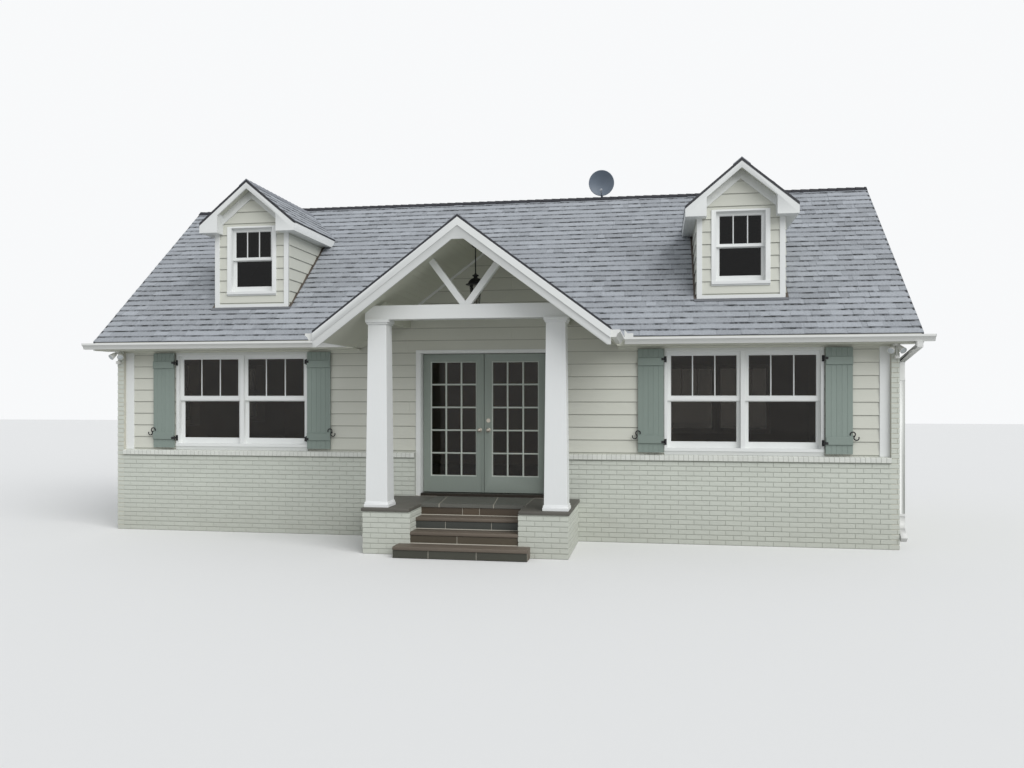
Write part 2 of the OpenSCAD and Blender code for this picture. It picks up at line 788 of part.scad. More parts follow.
// Short hinges on pintles, and the dog that holds each shutter open.
module shutter_ironwork() {
    strap_w = 34;
    strap_t = 5;
    strap_l = 30;
    pin_x = -14;
    pin_r = 9;
    face = shutter_t + batten_t;
    pin_y = shutter_hinge_y - face - strap_t / 2;
    inset = batten_from_end + 22;
    color("#1d1d1f") at_shutters() for (z = [shutter_low_z + inset, shutter_top_z - inset]) {
        translate([shutter_gap, shutter_hinge_y, 0]) rotate([0, 0, shutter_slant])
            block([pin_x + pin_r + seat_gap - shutter_gap, -face - strap_t, z - strap_w / 2],
                [strap_l, -face, z + strap_w / 2]);
        translate([pin_x, pin_y, z - 32]) cylinder(r = pin_r, h = 64);
        block([pin_x - 6, pin_y, z - 12], [pin_x + 6, -trim_t, z + 12]);
        block([pin_x - 20, -trim_t - strap_t, z - 42], [pin_x + 12, -trim_t, z + 42]);
    }
    dog_t = 8;
    dog_x = shutter_w * cos(shutter_slant) + shutter_gap + 22;
    dog_y = -trim_t - shutter_t * cos(shutter_slant) - 1.5 * dog_r * tan(shutter_slant) - seat_gap;
    dog_z = shutter_low_z + batten_from_end + batten_h + 10;
    color("#1d1d1f") at_shutters() translate([dog_x, 0, dog_z]) {
        translate([0, dog_y, 0]) rotate([-90, 0, 0]) cylinder(r = 7, h = -dog_y);
        mirror([1, 0, 0]) rotate([0, 45, 0]) along_y(dog_y - dog_t, dog_y, dog_outline());
    }
}

// An S of two arcs that meet at the pivot. It leans so that its upper end laps the shutter.
function dog_arc(z, from, to, r) = [for (k = [0:8]) let (a = from + (to - from) * k / 8) [r * cos(a), z + r * sin(a)]];

function dog_outline() = let (thin = dog_r - dog_w / 2, wide = dog_r + dog_w / 2) concat(
    dog_arc(dog_r, 20, 262, wide), dog_arc(-dog_r, 82, -160, thin),
    dog_arc(-dog_r, -160, 82, wide), dog_arc(dog_r, 262, 20, thin)
);

// Doors

module door_frame() {
    inner = opening_half;
    outer = door_hole_half;
    translate([door_x, 0, 0]) color("white") {
        difference() {
            block([-outer, 0, porch_floor_z], [outer, wall_t, door_hole_top]);
            block([-inner, -1, porch_floor_z - 1], [inner, wall_t + 1, opening_top]);
        }
        difference() {
            block([-door_casing_x, -trim_t, porch_floor_z], [door_casing_x, 0, opening_top + door_casing_w * 0.7]);
            block([-inner - leaf_gap, -trim_t - 1, porch_floor_z - 1], [inner + leaf_gap, 1, opening_top + leaf_gap]);
        }
        block([-inner, -threshold_out, porch_floor_z], [inner, wall_t, floor_z]);
    }
    color("white") for (s = [-1, 1]) at_leaf(s) for (h = hinge_at) jamb_hinge(leaf_z + h);
}

// A glazed leaf, modelled with its hinge edge at x = 0 and its face at y = leaf_y.
module leaf() {
    difference() {
        block([0, leaf_y, leaf_z], [leaf_w, leaf_y + leaf_t, leaf_z + leaf_h]);
        block([leaf_stile, leaf_y - 1, leaf_z + leaf_bottom_rail],
            [leaf_w - leaf_stile, leaf_y + leaf_t + 1, leaf_z + leaf_h - leaf_stile]);
    }
    for (h = hinge_at) leaf_hinge(leaf_z + h);
}

module leaf_pane() {
    y0 = leaf_y + (leaf_t - pane_t) / 2;
    block([leaf_stile, y0, leaf_z + leaf_bottom_rail],
        [leaf_w - leaf_stile, y0 + pane_t, leaf_z + leaf_h - leaf_stile]);
}

// Puts a leaf's hinge edge at the left-hand jamb (s = -1) or the right-hand one (s = 1).
module at_leaf(s) {
    translate([door_x + s * (opening_half - leaf_gap), 0, 0]) mirrored_if_negative(-s) children();
}

// The middle knuckle and its plate are fixed to the jamb.
module jamb_hinge(z) {
    translate([0, hinge_y, z - knuckle_h / 2]) cylinder(r = knuckle_r, h = knuckle_h);
    block([-leaf_gap, leaf_y + 4, z - knuckle_h / 2], [-leaf_gap + 2, hinge_y, z + knuckle_h / 2]);
}

// The knuckles above and below it are part of the leaf.
module leaf_hinge(z) {
    for (s = [-1, 1]) {
        z0 = s < 0 ? z - 1.5 * knuckle_h - seat_gap : z + knuckle_h / 2 + seat_gap;
        translate([0, hinge_y, z0]) cylinder(r = knuckle_r, h = knuckle_h);
        block([0, leaf_y + leaf_t, z0], [knuckle_r - 1, hinge_y, z0 + knuckle_h]);
    }
}

// The strip that covers the joint between the leaves rides on the left-hand leaf.
module door_leaf_left() {
    color("#7a8c8a") at_leaf(-1) {
        leaf();
        block([leaf_w - joint_strip_w, leaf_y - joint_strip_t, leaf_z], [leaf_w, leaf_y, leaf_z + leaf_h]);
    }
}

module door_leaf_right() { color("#7a8c8a") at_leaf(1) leaf(); }

module door_glass_left() { color("#9fb0b4") at_leaf(-1) leaf_pane(); }

module door_glass_right() { color("#9fb0b4") at_leaf(1) leaf_pane(); }

// A round knob with its rose, turned in one piece, standing out of both faces.
module knob(z) {
    for (side = [0, 1]) translate([leaf_w - knob_from_edge, leaf_y + side * leaf_t, z]) rotate([side ? -90 : 90, 0, 0])
        rotate_extrude() polygon([
            [0, 0], [32, 0], [32, 5], [12, 9], [10, 30], [18, 36], [26, 42], [28, 50], [25, 58], [14, 64], [0, 65]
        ]);
}

module door_knob_left() { color("#a9a59c") at_leaf(-1) knob(leaf_z + knob_h); }

module door_knob_right() {
    color("#a9a59c") at_leaf(1) {
        knob(leaf_z + knob_h);
        translate([leaf_w - knob_from_edge, leaf_y, leaf_z + knob_h + deadbolt_h]) rotate([90, 0, 0]) cylinder(r = 30, h = 16);
    }
}

// Porch floor and steps, made round x = 0 and moved to porch_x

module porch_base() {
    color("#8b8880") translate([porch_x, 0, 0]) block(
        [-pier_inner, -floor_front + nosing, 0], [pier_inner, -base_out, porch_floor_z - slab_t]
    );
}

module porch_piers() {
    color("#cdd0c6") both_sides(porch_x)
        block([pier_inner, -pier_out, 0], [pier_half_w, -base_out, porch_floor_z - slab_t]);
}

module pier_caps() {
    color("#4f4c48") both_sides(porch_x) block(
        [pier_inner, -pier_out - nosing, porch_floor_z - slab_t], [pier_half_w + nosing, -base_out, porch_floor_z]
    );
}

module porch_floor() {
    color("#4f4c48") difference() {
        translate([porch_x, 0, 0]) block(
            [-pier_inner, -floor_front, porch_floor_z - slab_t], [pier_inner, -base_out, porch_floor_z]
        );
        block([door_x - 1000, -base_out, 0], [door_x + 1000, 1, big]);
    }
    color("#4f4c48") translate([door_x, 0, 0]) block(
        [-door_casing_x, -base_out, porch_floor_z - slab_t], [door_casing_x, 0, porch_floor_z]
    );
}

// One step: a block of stone risers under a slab with a nosing.
module step(half, front, back, top) {
    color("#4f4c48") translate([porch_x, 0, 0]) {
        block([-half, -front + nosing, 0], [half, -back, top - slab_t]);
        block([-half, -front, top - slab_t], [half, -back, top]);
    }
}

// The bottom step stands against the piers and runs in between them to the next riser.
module bottom_step() {
    step(pier_inner + bottom_step_side, pier_out + tread, pier_out, riser);
    step(pier_inner, pier_out + nosing, pier_out - nosing, riser);
}

module middle_step() { step(pier_inner, pier_out, pier_out - tread + nosing, 2 * riser); }

module top_step() { step(pier_inner, pier_out - tread, floor_front - nosing, 3 * riser); }

// Porch timber, made round x = 0 and moved to porch_x

// A square shaft that narrows upwards, with stepped cap and base.
module column() {
    low = porch_floor_z;
    lo = shaft_low / 2;
    hi = shaft_top / 2;
    z1 = low + column_h;
    taper = [[-lo, low], [lo, low], [hi, z1], [-hi, z1]];
    intersection() {
        along_y(-lo, lo, taper);
        along_x(-lo, lo, taper);
    }
    half_base = lo + column_flare * 0.6;
    half_cap = hi + column_flare;
    block([-half_base, -half_base, low], [half_base, half_base, low + column_base_h * 0.6]);
    block([-half_base + 8, -half_base + 8, low], [half_base - 8, half_base - 8, low + column_base_h]);
    block([-half_cap, -half_cap, z1 - 40], [half_cap, half_cap, z1]);
    block([-half_cap + 12, -half_cap + 12, z1 - 65], [half_cap - 12, half_cap - 12, z1]);
}

module porch_columns() { color("white") both_sides(porch_x) translate([column_x, -column_out, 0]) column(); }

// Everything below the porch's boarded ceiling.
module below_ceiling() {
    translate([0, 0, -seat_gap]) along_y(-big, big, [
        [-big, -big], [big, -big], [big, ceiling_under(big)], [0, ceiling_under(0)], [-big, ceiling_under(big)]
    ]);
}

module tie_beam() {
    y = -column_out;
    color("white") translate([porch_x, 0, 0]) intersection() {
        block([-beam_out, y - beam_t / 2, beam_low_z], [beam_out, y + beam_t / 2, beam_low_z + beam_h]);
        below_ceiling();
    }
}

module side_beams() {
    color("#bdbcab") both_sides(porch_x) intersection() {
        block([column_x - side_beam_t / 2, -column_out + beam_t / 2, beam_low_z], [column_x + side_beam_t / 2, 0, big]);
        below_ceiling();
    }
}

// Two braces that rise from the beam's middle, flush with its face and square to the roof slopes.
module gable_braces() {
    angle = 90 - atan(porch_slope);
    long = 1200;
    z0 = beam_low_z + beam_h;
    color("white") translate([porch_x, -column_out, 0]) intersection() {
        both_sides() translate([brace_w * 0.28, 0, z0]) rotate([0, -angle, 0])
            block([-200, -beam_t / 2, -brace_w / 2], [long, -beam_t / 2 + brace_t, brace_w / 2]);
        block([-big, -big, z0], [big, big, big]);
        below_ceiling();
    }
}

module porch_slab(t, half, top_offset) {
    polygon_top = [[-half, porch_top(half) - top_offset], [0, porch_ridge_z - top_offset],
        [half, porch_top(half) - top_offset]];
    polygon_low = [[half, porch_top(half) - top_offset - t], [0, porch_ridge_z - top_offset - t],
        [-half, porch_top(half) - top_offset - t]];
    along_y(-porch_roof_out, valley_y, concat(polygon_top, polygon_low));
}

module porch_roof() {
    color("#7d7e86") difference() {
        intersection() {
            translate([porch_x, 0, 0]) porch_slab(porch_roof_t, porch_half_w, 0);
            along_z(0, 2 * ridge_z, valley_outline(valley_y - 1, seat_gap));
        }
        intersection() {
            translate([0, 0, seat_gap]) below_main_roof();
            block([-big, wall_t, -big], [big, big, big]);
        }
    }
}

module porch_ceiling() {
    color("#bdbcab") intersection() {
        translate([porch_x, 0, 0]) porch_slab(ceiling_t, beam_out, porch_roof_t);
        block([-big, -porch_roof_out, 0], [big, 0, big]);
    }
}

// Two layers of rake board on the porch gable, with a flat cut under the peak.
module porch_rake_boards() {
    y0 = -porch_roof_out;
    e = porch_half_w;
    top = shingle_edge;
    cut_z = porch_ridge_z - rake_h - rake_cut_w / 2 * porch_slope;
    color("white") translate([porch_x, 0, 0]) {
        along_y(y0 - trim_t, y0, rake_outline(e, top, rake_h, rake_foot));
        along_y(y0 - trim_t - upper_rake_t, y0 - trim_t, rake_outline(e, top, rake_upper_h, 1));
        along_y(y0 - trim_t, y0, [
            [-rake_cut_w / 2, cut_z], [rake_cut_w / 2, cut_z], [0, porch_ridge_z - rake_h + 1]
        ]);
    }
}

// An upside-down V with plumb ends and a level cut at each foot.
function rake_outline(e, top, low, foot) = let (z = porch_top(e) - low + foot, x = e - foot / porch_slope) [
    [-e, porch_top(e) - top], [0, porch_ridge_z - top], [e, porch_top(e) - top],
    [e, z], [x, z], [0, porch_ridge_z - low], [-x, z], [-e, z]
];

// Gutters and downspouts

// Section of an ogee gutter against a board at y = 0, its top at z = 0, opening upwards.
function gutter_outline() = [
    [0, 0], [0, -gutter_h], [-gutter_w * 0.55, -gutter_h], [-gutter_w * 0.72, -gutter_h * 0.55],
    [-gutter_w, -gutter_h * 0.3], [-gutter_w, 0], [-gutter_w + gutter_t, 0],
    [-gutter_w + gutter_t, -gutter_h * 0.3 + gutter_t * 0.4], [-gutter_w * 0.72 + gutter_t, -gutter_h * 0.55 + gutter_t],
    [-gutter_w * 0.55 + gutter_t, -gutter_h + gutter_t], [-gutter_t, -gutter_h + gutter_t], [-gutter_t, 0]
];

module gutter(x0, x1) {
    translate([0, -eave_out, gutter_z]) along_x(x0, x1, gutter_outline());
}

// The front lip of each gutter stands higher where a valley pours into it.
module gutters() {
    e = porch_half_w;
    end = roof_half_l + gutter_over;
    color("white") {
        gutter(-end, porch_x - e - gutter_w);
        gutter(porch_x + e + gutter_w, end);
        translate([0, house_d, 0]) mirror([0, 1, 0]) gutter(-end, end);
        both_sides(porch_x) {
            translate([e, 0, gutter_z]) rotate([0, 0, 90])
                along_x(-porch_roof_out, -eave_out - gutter_w, gutter_outline());
            translate([e + gutter_w, -eave_out - gutter_w, gutter_z]) along_y(0, gutter_t, [
                [0, -10], [splash_w, -10], [splash_w, splash_h / 2], [splash_w * 0.35, splash_h / 2], [0, splash_h]
            ]);
        }
    }
}

// From the gutter's outlet back under the soffit, down the side wall, and out again at the foot.
module downspout() {
    top = gutter_z - gutter_h;
    drop = 190;
    foot = 110;
    wall_y = 60;
    turn = 14;
    run = (eave_out + gutter_w / 2 + wall_y - spout_d / 2) / cos(turn);
    elbow_top = min(top - 40, soffit_z - 30);
    wall_top = elbow_top - 15 - drop;
    h = spout_d / 2;
    stand_off = 14;
    translate([brick_x + stand_off + spout_w / 2, wall_y - spout_d / 2, 0]) {
        for (z = [foot + 330, wall_top - 250])
            block([-spout_w / 2 - stand_off, -h - 3, z], [spout_w / 2 + 3, h + 3, z + 35]);
        along_x(-spout_w / 2, spout_w / 2, [
            [h, wall_top], [h, foot + 120], [h - 130, foot], [h - 130 - spout_d, foot + spout_d],
            [-h, foot + 170], [-h, wall_top]
        ]);
        rotate([0, 0, turn]) along_x(-spout_w / 2, spout_w / 2, [
            [h, wall_top - 20], [h, wall_top + 30], [h - run, elbow_top], [h - run, top], [-h - run, top],
            [-h - run, elbow_top - 30], [-h, wall_top], [-h, wall_top - 20]
        ]);
    }
}

// One at the front's right-hand corner and one at each corner of the back.
module downspouts() {
    color("white") {
        downspout();
        translate([0, house_d, 0]) mirror([0, 1, 0]) both_sides() downspout();
    }
}

// Fittings

// It hangs on a rod from a canopy whose rim meets both slopes of the ceiling.
module lantern() {
    canopy_r = 60;
    canopy_h = 35;
    cap_h = 145;
    rib = 8;
    z1 = ceiling_under(canopy_r) - seat_gap;
    z0 = z1 - lantern_rod;
    w = lantern_w / 2;
    low = z0 - lantern_h;
    cage_h = lantern_h - cap_h;
    wide = w * 0.63;
    narrow = w * 0.42;
    color("#1d1d1f") translate([porch_x, -lantern_out, 0]) {
        translate([0, 0, z1 - canopy_h]) cylinder(r1 = canopy_r * 0.6, r2 = canopy_r, h = canopy_h);
        translate([0, 0, z0]) cylinder(r = 8, h = lantern_rod - canopy_h / 2);
        // A brim, a dome, a neck and a crown
        translate([0, 0, z0 - cap_h]) rotate_extrude($fn = 48) polygon([
            [0, 0], [w, 0], [w, 7], [w * 0.76, 14], [w * 0.71, 40], [w * 0.58, 66], [w * 0.36, 86], [w * 0.2, 96],
            [w * 0.2, 112], [w * 0.32, 118], [w * 0.32, 134], [w * 0.12, 142], [w * 0.1, cap_h + 12], [0, cap_h + 12]
        ]);
        // Hoops round the glass, which narrows downwards
        for (k = [0:2]) let (r = narrow + (wide - narrow) * k / 2)
            translate([0, 0, low + (cage_h - rib) * k / 2]) difference() {
                cylinder(r = r, h = rib, $fn = 48);
                translate([0, 0, k == 0 ? rib / 2 : -1]) cylinder(r = r - rib, h = rib + 2, $fn = 48);
            }
        for (a = [0:60:300]) rotate([0, 0, a]) along_y(-rib / 2, rib / 2, [
            [narrow - rib, low + 1], [narrow - 0.5, low + 1], [wide - 0.5, low + cage_h + 1], [wide - rib, low + cage_h + 1]
        ]);
        translate([0, 0, low - 26]) rotate_extrude()
            polygon([[0, 0], [7, 4], [9, 10], [5, 17], [16, 22], [22, 28], [0, 28]]);
    }
}

// Twin lamp heads on a round plate under the eave at each front corner.
module floodlights() {
    plate_r = 55;
    plate_h = 24;
    sensor_drop = 140;
    color("white") both_sides() translate([brick_x - 62, -base_out - plate_r - 20, soffit_z]) {
        translate([0, 0, -plate_h]) cylinder(r = plate_r, h = plate_h);
        translate([18, 26, -plate_h - sensor_drop]) {
            cylinder(r = 9, h = sensor_drop + 2);
            block([-26, -34, -30], [26, 24, 12]);
            translate([0, -34, -9]) rotate([-90, 0, 0]) translate([0, 0, -12]) cylinder(r = 18, h = 14);
        }
        translate([-32, 0, -plate_h]) rotate([126, 0, -30]) {
            translate([0, 0, -6]) cylinder(r = 20, h = 40);
            translate([0, 0, 30]) cylinder(r1 = 28, r2 = 46, h = 95);
        }
        translate([32, 0, -plate_h]) rotate([126, 0, 24]) {
            translate([0, 0, -6]) cylinder(r = 20, h = 40);
            translate([0, 0, 30]) cylinder(r1 = 28, r2 = 46, h = 95);
        }
    }
}

// A small dish on a mast that is bolted to the back slope.
module satellite_dish() {
    x = 1560;
    y = ridge_y + 420;
    foot_z = roof_z(y);
    top_z = ridge_z + 350;
    color("#4b4f55") translate([x, y, foot_z]) rotate([-atan(roof_slope), 0, 0]) block([-70, -90, 0], [70, 90, 6]);
    color("#4b4f55") translate([x, y, 0]) {
        difference() {
            translate([0, 0, foot_z - 40]) cylinder(r = 20, h = top_z - foot_z + 40);
            translate([0, 0, foot_z]) rotate([-atan(roof_slope), 0, 0]) block([-200, -200, -400], [200, 200, 0]);
        }
        translate([0, -60, top_z]) rotate([100, 0, 0]) rotate_extrude($fn = 64)
            polygon([[0, 0], [dish_w * 0.2, 12], [dish_w * 0.36, 34], [dish_w / 2, 62], [dish_w / 2 - 6, 68],
                [dish_w * 0.35, 42], [dish_w * 0.19, 20], [0, 8]]);
        translate([0, 0, top_z]) rotate([100, 0, 0]) {
            translate([0, 0, -10]) cylinder(r = 26, h = 72);
            translate([0, -dish_w / 2 + 16, 118]) rotate([-28, 0, 0]) {
                block([-9, -8, -22], [9, 8, 200]);
                translate([0, 0, 196]) rotate([-150, 0, 0]) translate([0, 0, -24]) cylinder(r1 = 17, r2 = 26, h = 74);
            }
        }
    }
}

front_wall_left();
front_wall_right();
front_wall_over_door();
porch_gable_wall();
left_side_wall();
right_side_wall();
back_wall();
brick_base();
rowlock_course();
corner_boards();
ground_floor();
upper_floor();
main_roof_front();
main_roof_back();
ridge_cap();
eaves();
gable_rake_boards();
dormer_walls();
dormer_roofs();
dormer_trim();
dormer_windows();
front_windows();
front_shutters();
shutter_ironwork();
back_windows();
side_windows();
ground_floor_glass();
upper_floor_glass();
door_frame();
door_leaf_left();
door_leaf_right();
door_glass_left();
door_glass_right();
door_knob_left();
door_knob_right();
porch_base();
porch_piers();
pier_caps();
porch_floor();
bottom_step();
middle_step();
top_step();
porch_columns();
tie_beam();
side_beams();
gable_braces();
porch_roof();
porch_ceiling();
porch_rake_boards();
gutters();
downspouts();
lantern();
floodlights();
satellite_dish();
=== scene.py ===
"""Looks of a one-and-a-half-storey bungalow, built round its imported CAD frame, in metres."""
import math

import bmesh
import bpy
from mathutils import Matrix, Vector


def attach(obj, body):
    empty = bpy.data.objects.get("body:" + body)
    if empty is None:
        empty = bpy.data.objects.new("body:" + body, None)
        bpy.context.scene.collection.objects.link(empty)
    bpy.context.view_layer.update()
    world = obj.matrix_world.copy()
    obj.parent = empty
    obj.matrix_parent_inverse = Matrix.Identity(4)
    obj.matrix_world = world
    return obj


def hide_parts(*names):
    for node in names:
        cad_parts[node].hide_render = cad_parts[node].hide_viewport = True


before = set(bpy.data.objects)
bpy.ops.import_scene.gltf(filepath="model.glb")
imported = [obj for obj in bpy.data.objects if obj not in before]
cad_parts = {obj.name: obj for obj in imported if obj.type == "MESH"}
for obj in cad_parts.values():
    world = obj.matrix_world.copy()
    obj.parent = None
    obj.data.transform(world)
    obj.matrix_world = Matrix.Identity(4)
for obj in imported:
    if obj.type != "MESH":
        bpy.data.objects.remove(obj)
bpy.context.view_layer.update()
scene = bpy.context.scene

# Studio: a level camera at the height and distance that the photograph was taken from,
# a pale floor, a sky that lights evenly from all round, and one broad lamp high on the right.
camera = bpy.data.objects.new("camera", bpy.data.cameras.new("camera"))
camera.location = (2.547, -12.36, 2.037)
camera.rotation_euler = (math.radians(90), 0, math.radians(9.54))
camera.data.sensor_width = 36
camera.data.lens = 30.48
camera.data.shift_y = 0.0134
scene.collection.objects.link(camera)
scene.camera = camera
scene.view_settings.view_transform = "Standard"

lamp = bpy.data.objects.new("broad_lamp", bpy.data.lights.new("broad_lamp", "SUN"))
lamp.data.energy = 2.1
lamp.data.angle = math.radians(50)
lamp.rotation_euler = (math.radians(54), 0, math.radians(44))
scene.collection.objects.link(lamp)


def socket(source):
    """A node's first output, or the value or socket itself."""
    return source.outputs[0] if isinstance(source, bpy.types.Node) else source


def add(tree, kind, inputs=None, **settings):
    """Adds a node, with its settings, its plain input values and the nodes or sockets that feed it."""
    made = tree.nodes.new(kind)
    for name, value in settings.items():
        setattr(made, name, value)
    for name, value in (inputs or {}).items():
        value = socket(value)
        if isinstance(value, bpy.types.NodeSocket):
            tree.links.new(value, made.inputs[name])
        else:
            made.inputs[name].default_value = value
    return made


def calc(tree, operation, *values, **settings):
    """One step of arithmetic on up to three numbers, nodes or sockets."""
    return add(tree, "ShaderNodeMath", dict(enumerate(values)), operation=operation, **settings)


def blend(tree, mask, first, second):
    """One colour where the mask is 0, and the other where it is 1."""
    return add(tree, "ShaderNodeMix", {0: mask, 6: first, 7: second}, data_type="RGBA").outputs[2]


def seen_in(tree):
    """1 where the camera looks, straight, in a reflection or through glass, and 0 for other light."""
    path = add(tree, "ShaderNodeLightPath").outputs
    seen = calc(tree, "MAXIMUM", path["Is Camera Ray"], path["Is Glossy Ray"])
    return calc(tree, "MAXIMUM", seen, path["Is Transmission Ray"])


def new_object(name, mesh):
    """An object at the origin for a finished mesh."""
    made = bpy.data.objects.new(name, mesh)
    scene.collection.objects.link(made)
    return made


def plain_mesh(name, points, faces):
    """A mesh from points and faces, with every face turned outwards."""
    mesh = bpy.data.meshes.new(name)
    mesh.from_pydata([tuple(p) for p in points], [], faces)
    work = bmesh.new()
    work.from_mesh(mesh)
    bmesh.ops.recalc_face_normals(work, faces=work.faces)
    work.to_mesh(mesh)
    work.free()
    return mesh


def shader_material(name, roughness, **values):
    """A material with one shader and its plain values, ready for nodes that vary them."""
    material = bpy.data.materials.new(name)
    material.use_nodes = True
    inputs = material.node_tree.nodes["Principled BSDF"].inputs
    inputs["Roughness"].default_value = roughness
    for key, value in values.items():
        inputs[key.replace("_", " ")].default_value = value
    return material


def feed(material, **sources):
    """Links nodes to the inputs of a material's shader."""
    inputs = material.node_tree.nodes["Principled BSDF"].inputs
    for key, source in sources.items():
        material.node_tree.links.new(socket(source), inputs[key.replace("_", " ")])


world = bpy.data.worlds.new("pale_sky")
world.use_nodes = True
sky = world.node_tree
sky.nodes.clear()
light = add(sky, "ShaderNodeBackground", {"Color": (0.93, 0.96, 1.0, 1), "Strength": 0.60})
shown = add(sky, "ShaderNodeBackground", {"Color": (0.94, 0.95, 0.96, 1), "Strength": 1.0})
both = add(sky, "ShaderNodeMixShader", {0: seen_in(sky), 1: light, 2: shown})
add(sky, "ShaderNodeOutputWorld", {"Surface": both})
scene.world = world

pale_floor = shader_material("pale_floor", 0.9)
floor_tree = pale_floor.node_tree
feed(pale_floor, Base_Color=blend(floor_tree, seen_in(floor_tree), (0.42, 0.42, 0.41, 1),
                                  (0.80, 0.80, 0.79, 1)))
floor_mesh = plain_mesh("studio_floor", [(-60, -40, 0), (60, -40, 0), (60, 60, 0), (-60, 60, 0)],
                        [(0, 1, 2, 3)])
floor_mesh.materials.append(pale_floor)
new_object("studio_floor", floor_mesh)

# Painted brickwork: the base below the siding, both side walls and the porch piers are laid in
# running bond under one thick coat of off-white paint, which fills the upright joints best.
# The courses are laid by the tree below, which also lays siding, shingles, boards and bars.
HOUSE_DEPTH = 5.62
BRICK_FACE_X = 5.73
BASE_FACE_Y = -0.075
BASE_TOP = 1.160
SOFFIT_Z = 2.754
PORCH_X = 0.09


def declare(tree, side, **kinds):
    """Names a tree's input or output sockets, listed by kind."""
    for kind, names in kinds.items():
        for name in names.split(", "):
            tree.interface.new_socket(name, in_out=side, socket_type="NodeSocket" + kind)


def make_course_tree():
    """Lays rows of one unit shape along X and up Z, trimmed to an outline, with openings cut out."""
    tree = bpy.data.node_groups.new("laid_courses", "GeometryNodeTree")
    declare(tree, "OUTPUT", Geometry="Geometry")
    declare(tree, "INPUT", Object="Unit, Outline, Openings", Int="Columns, Rows, Seed", Material="Material",
            Float="Pitch, Course, Start X, Start Z, Bond, Row Shift, Share, Least Width")
    given = add(tree, "NodeGroupInput").outputs
    seed = given["Seed"]
    index = add(tree, "GeometryNodeInputIndex")
    column = calc(tree, "MODULO", index, given["Columns"])
    row = calc(tree, "FLOOR", calc(tree, "DIVIDE", index, given["Columns"]))
    odd = calc(tree, "MODULO", row, 2.0)
    shift = add(tree, "FunctionNodeRandomValue", {"ID": row, "Seed": seed}, data_type="FLOAT").outputs[1]
    along = calc(tree, "MULTIPLY_ADD", odd, given["Bond"], column)
    along = calc(tree, "MULTIPLY_ADD", shift, given["Row Shift"], along)
    along = calc(tree, "MULTIPLY_ADD", along, given["Pitch"], given["Start X"])
    up = calc(tree, "MULTIPLY_ADD", row, given["Course"], given["Start Z"])
    count = calc(tree, "MULTIPLY", given["Columns"], given["Rows"])
    points = add(tree, "GeometryNodePoints", {
        "Count": count, "Position": add(tree, "ShaderNodeCombineXYZ", {"X": along, "Z": up})})
    chosen = add(tree, "FunctionNodeRandomValue", {"Probability": given["Share"], "Seed": seed},
                 data_type="BOOLEAN").outputs[3]
    width = add(tree, "FunctionNodeRandomValue", {2: given["Least Width"], 3: 1.0, "Seed": seed},
                data_type="FLOAT").outputs[1]
    unit = add(tree, "GeometryNodeObjectInfo", {"Object": given["Unit"]}).outputs["Geometry"]
    laid = add(tree, "GeometryNodeInstanceOnPoints", {
        "Points": points, "Selection": chosen, "Instance": unit,
        "Scale": add(tree, "ShaderNodeCombineXYZ", {"X": width, "Y": 1.0, "Z": 1.0})})
    tone = add(tree, "FunctionNodeRandomValue", {"Seed": seed}, data_type="FLOAT").outputs[1]
    toned = add(tree, "GeometryNodeStoreNamedAttribute", {"Geometry": laid, "Name": "tone", "Value": tone},
                data_type="FLOAT", domain="INSTANCE")
    real = add(tree, "GeometryNodeRealizeInstances", {0: toned})
    tone = add(tree, "GeometryNodeInputNamedAttribute", {"Name": "tone"}, data_type="FLOAT")
    faces = add(tree, "GeometryNodeStoreNamedAttribute", {"Geometry": real, "Name": "tone", "Value": tone},
                data_type="FLOAT", domain="FACE")
    outline = add(tree, "GeometryNodeObjectInfo", {"Object": given["Outline"]}).outputs["Geometry"]
    openings = add(tree, "GeometryNodeObjectInfo", {"Object": given["Openings"]}).outputs["Geometry"]
    trimmed = add(tree, "GeometryNodeMeshBoolean", {1: faces}, operation="INTERSECT", solver="MANIFOLD")
    tree.links.new(outline, trimmed.inputs[1])
    cut = add(tree, "GeometryNodeMeshBoolean", {0: trimmed, 1: openings}, operation="DIFFERENCE",
              solver="MANIFOLD")
    painted = add(tree, "GeometryNodeSetMaterial", {"Geometry": cut, "Material": given["Material"]})
    add(tree, "NodeGroupOutput", {0: painted})
    return tree


course_tree = make_course_tree()
socket_of = {s.name: s.identifier for s in course_tree.interface.items_tree if s.in_out == "INPUT"}


def bar_faces(n, first=0):
    """The two ends and the sides of a bar whose ends have n points each."""
    ends = [tuple(range(first, first + n)), tuple(range(first + n, first + 2 * n))]
    return ends + [(first + i, first + (i + 1) % n, first + n + (i + 1) % n, first + n + i) for i in range(n)]


def prisms(outlines, front=-0.4, back=0.4):
    """Closed prisms over outlines of (x, z) points, from y = front to y = back."""
    points = []
    faces = []
    for outline in outlines:
        faces += bar_faces(len(outline), len(points))
        points += [(x, y, z) for y in (front, back) for x, z in outline]
    return plain_mesh("prisms", points, faces)


def face_of(origin, right=(1, 0, 0), up=(0, 0, 1)):
    """Where a field of units lies: its X runs right, its Z up, and its -Y out of the surface."""
    right = Vector(right).normalized()
    up = Vector(up).normalized()
    axes = Matrix((right, up.cross(right), up)).transposed().to_4x4()
    return Matrix.Translation(Vector(origin)) @ axes


NOWHERE = [(900, 0), (901, 0), (901, 1)]


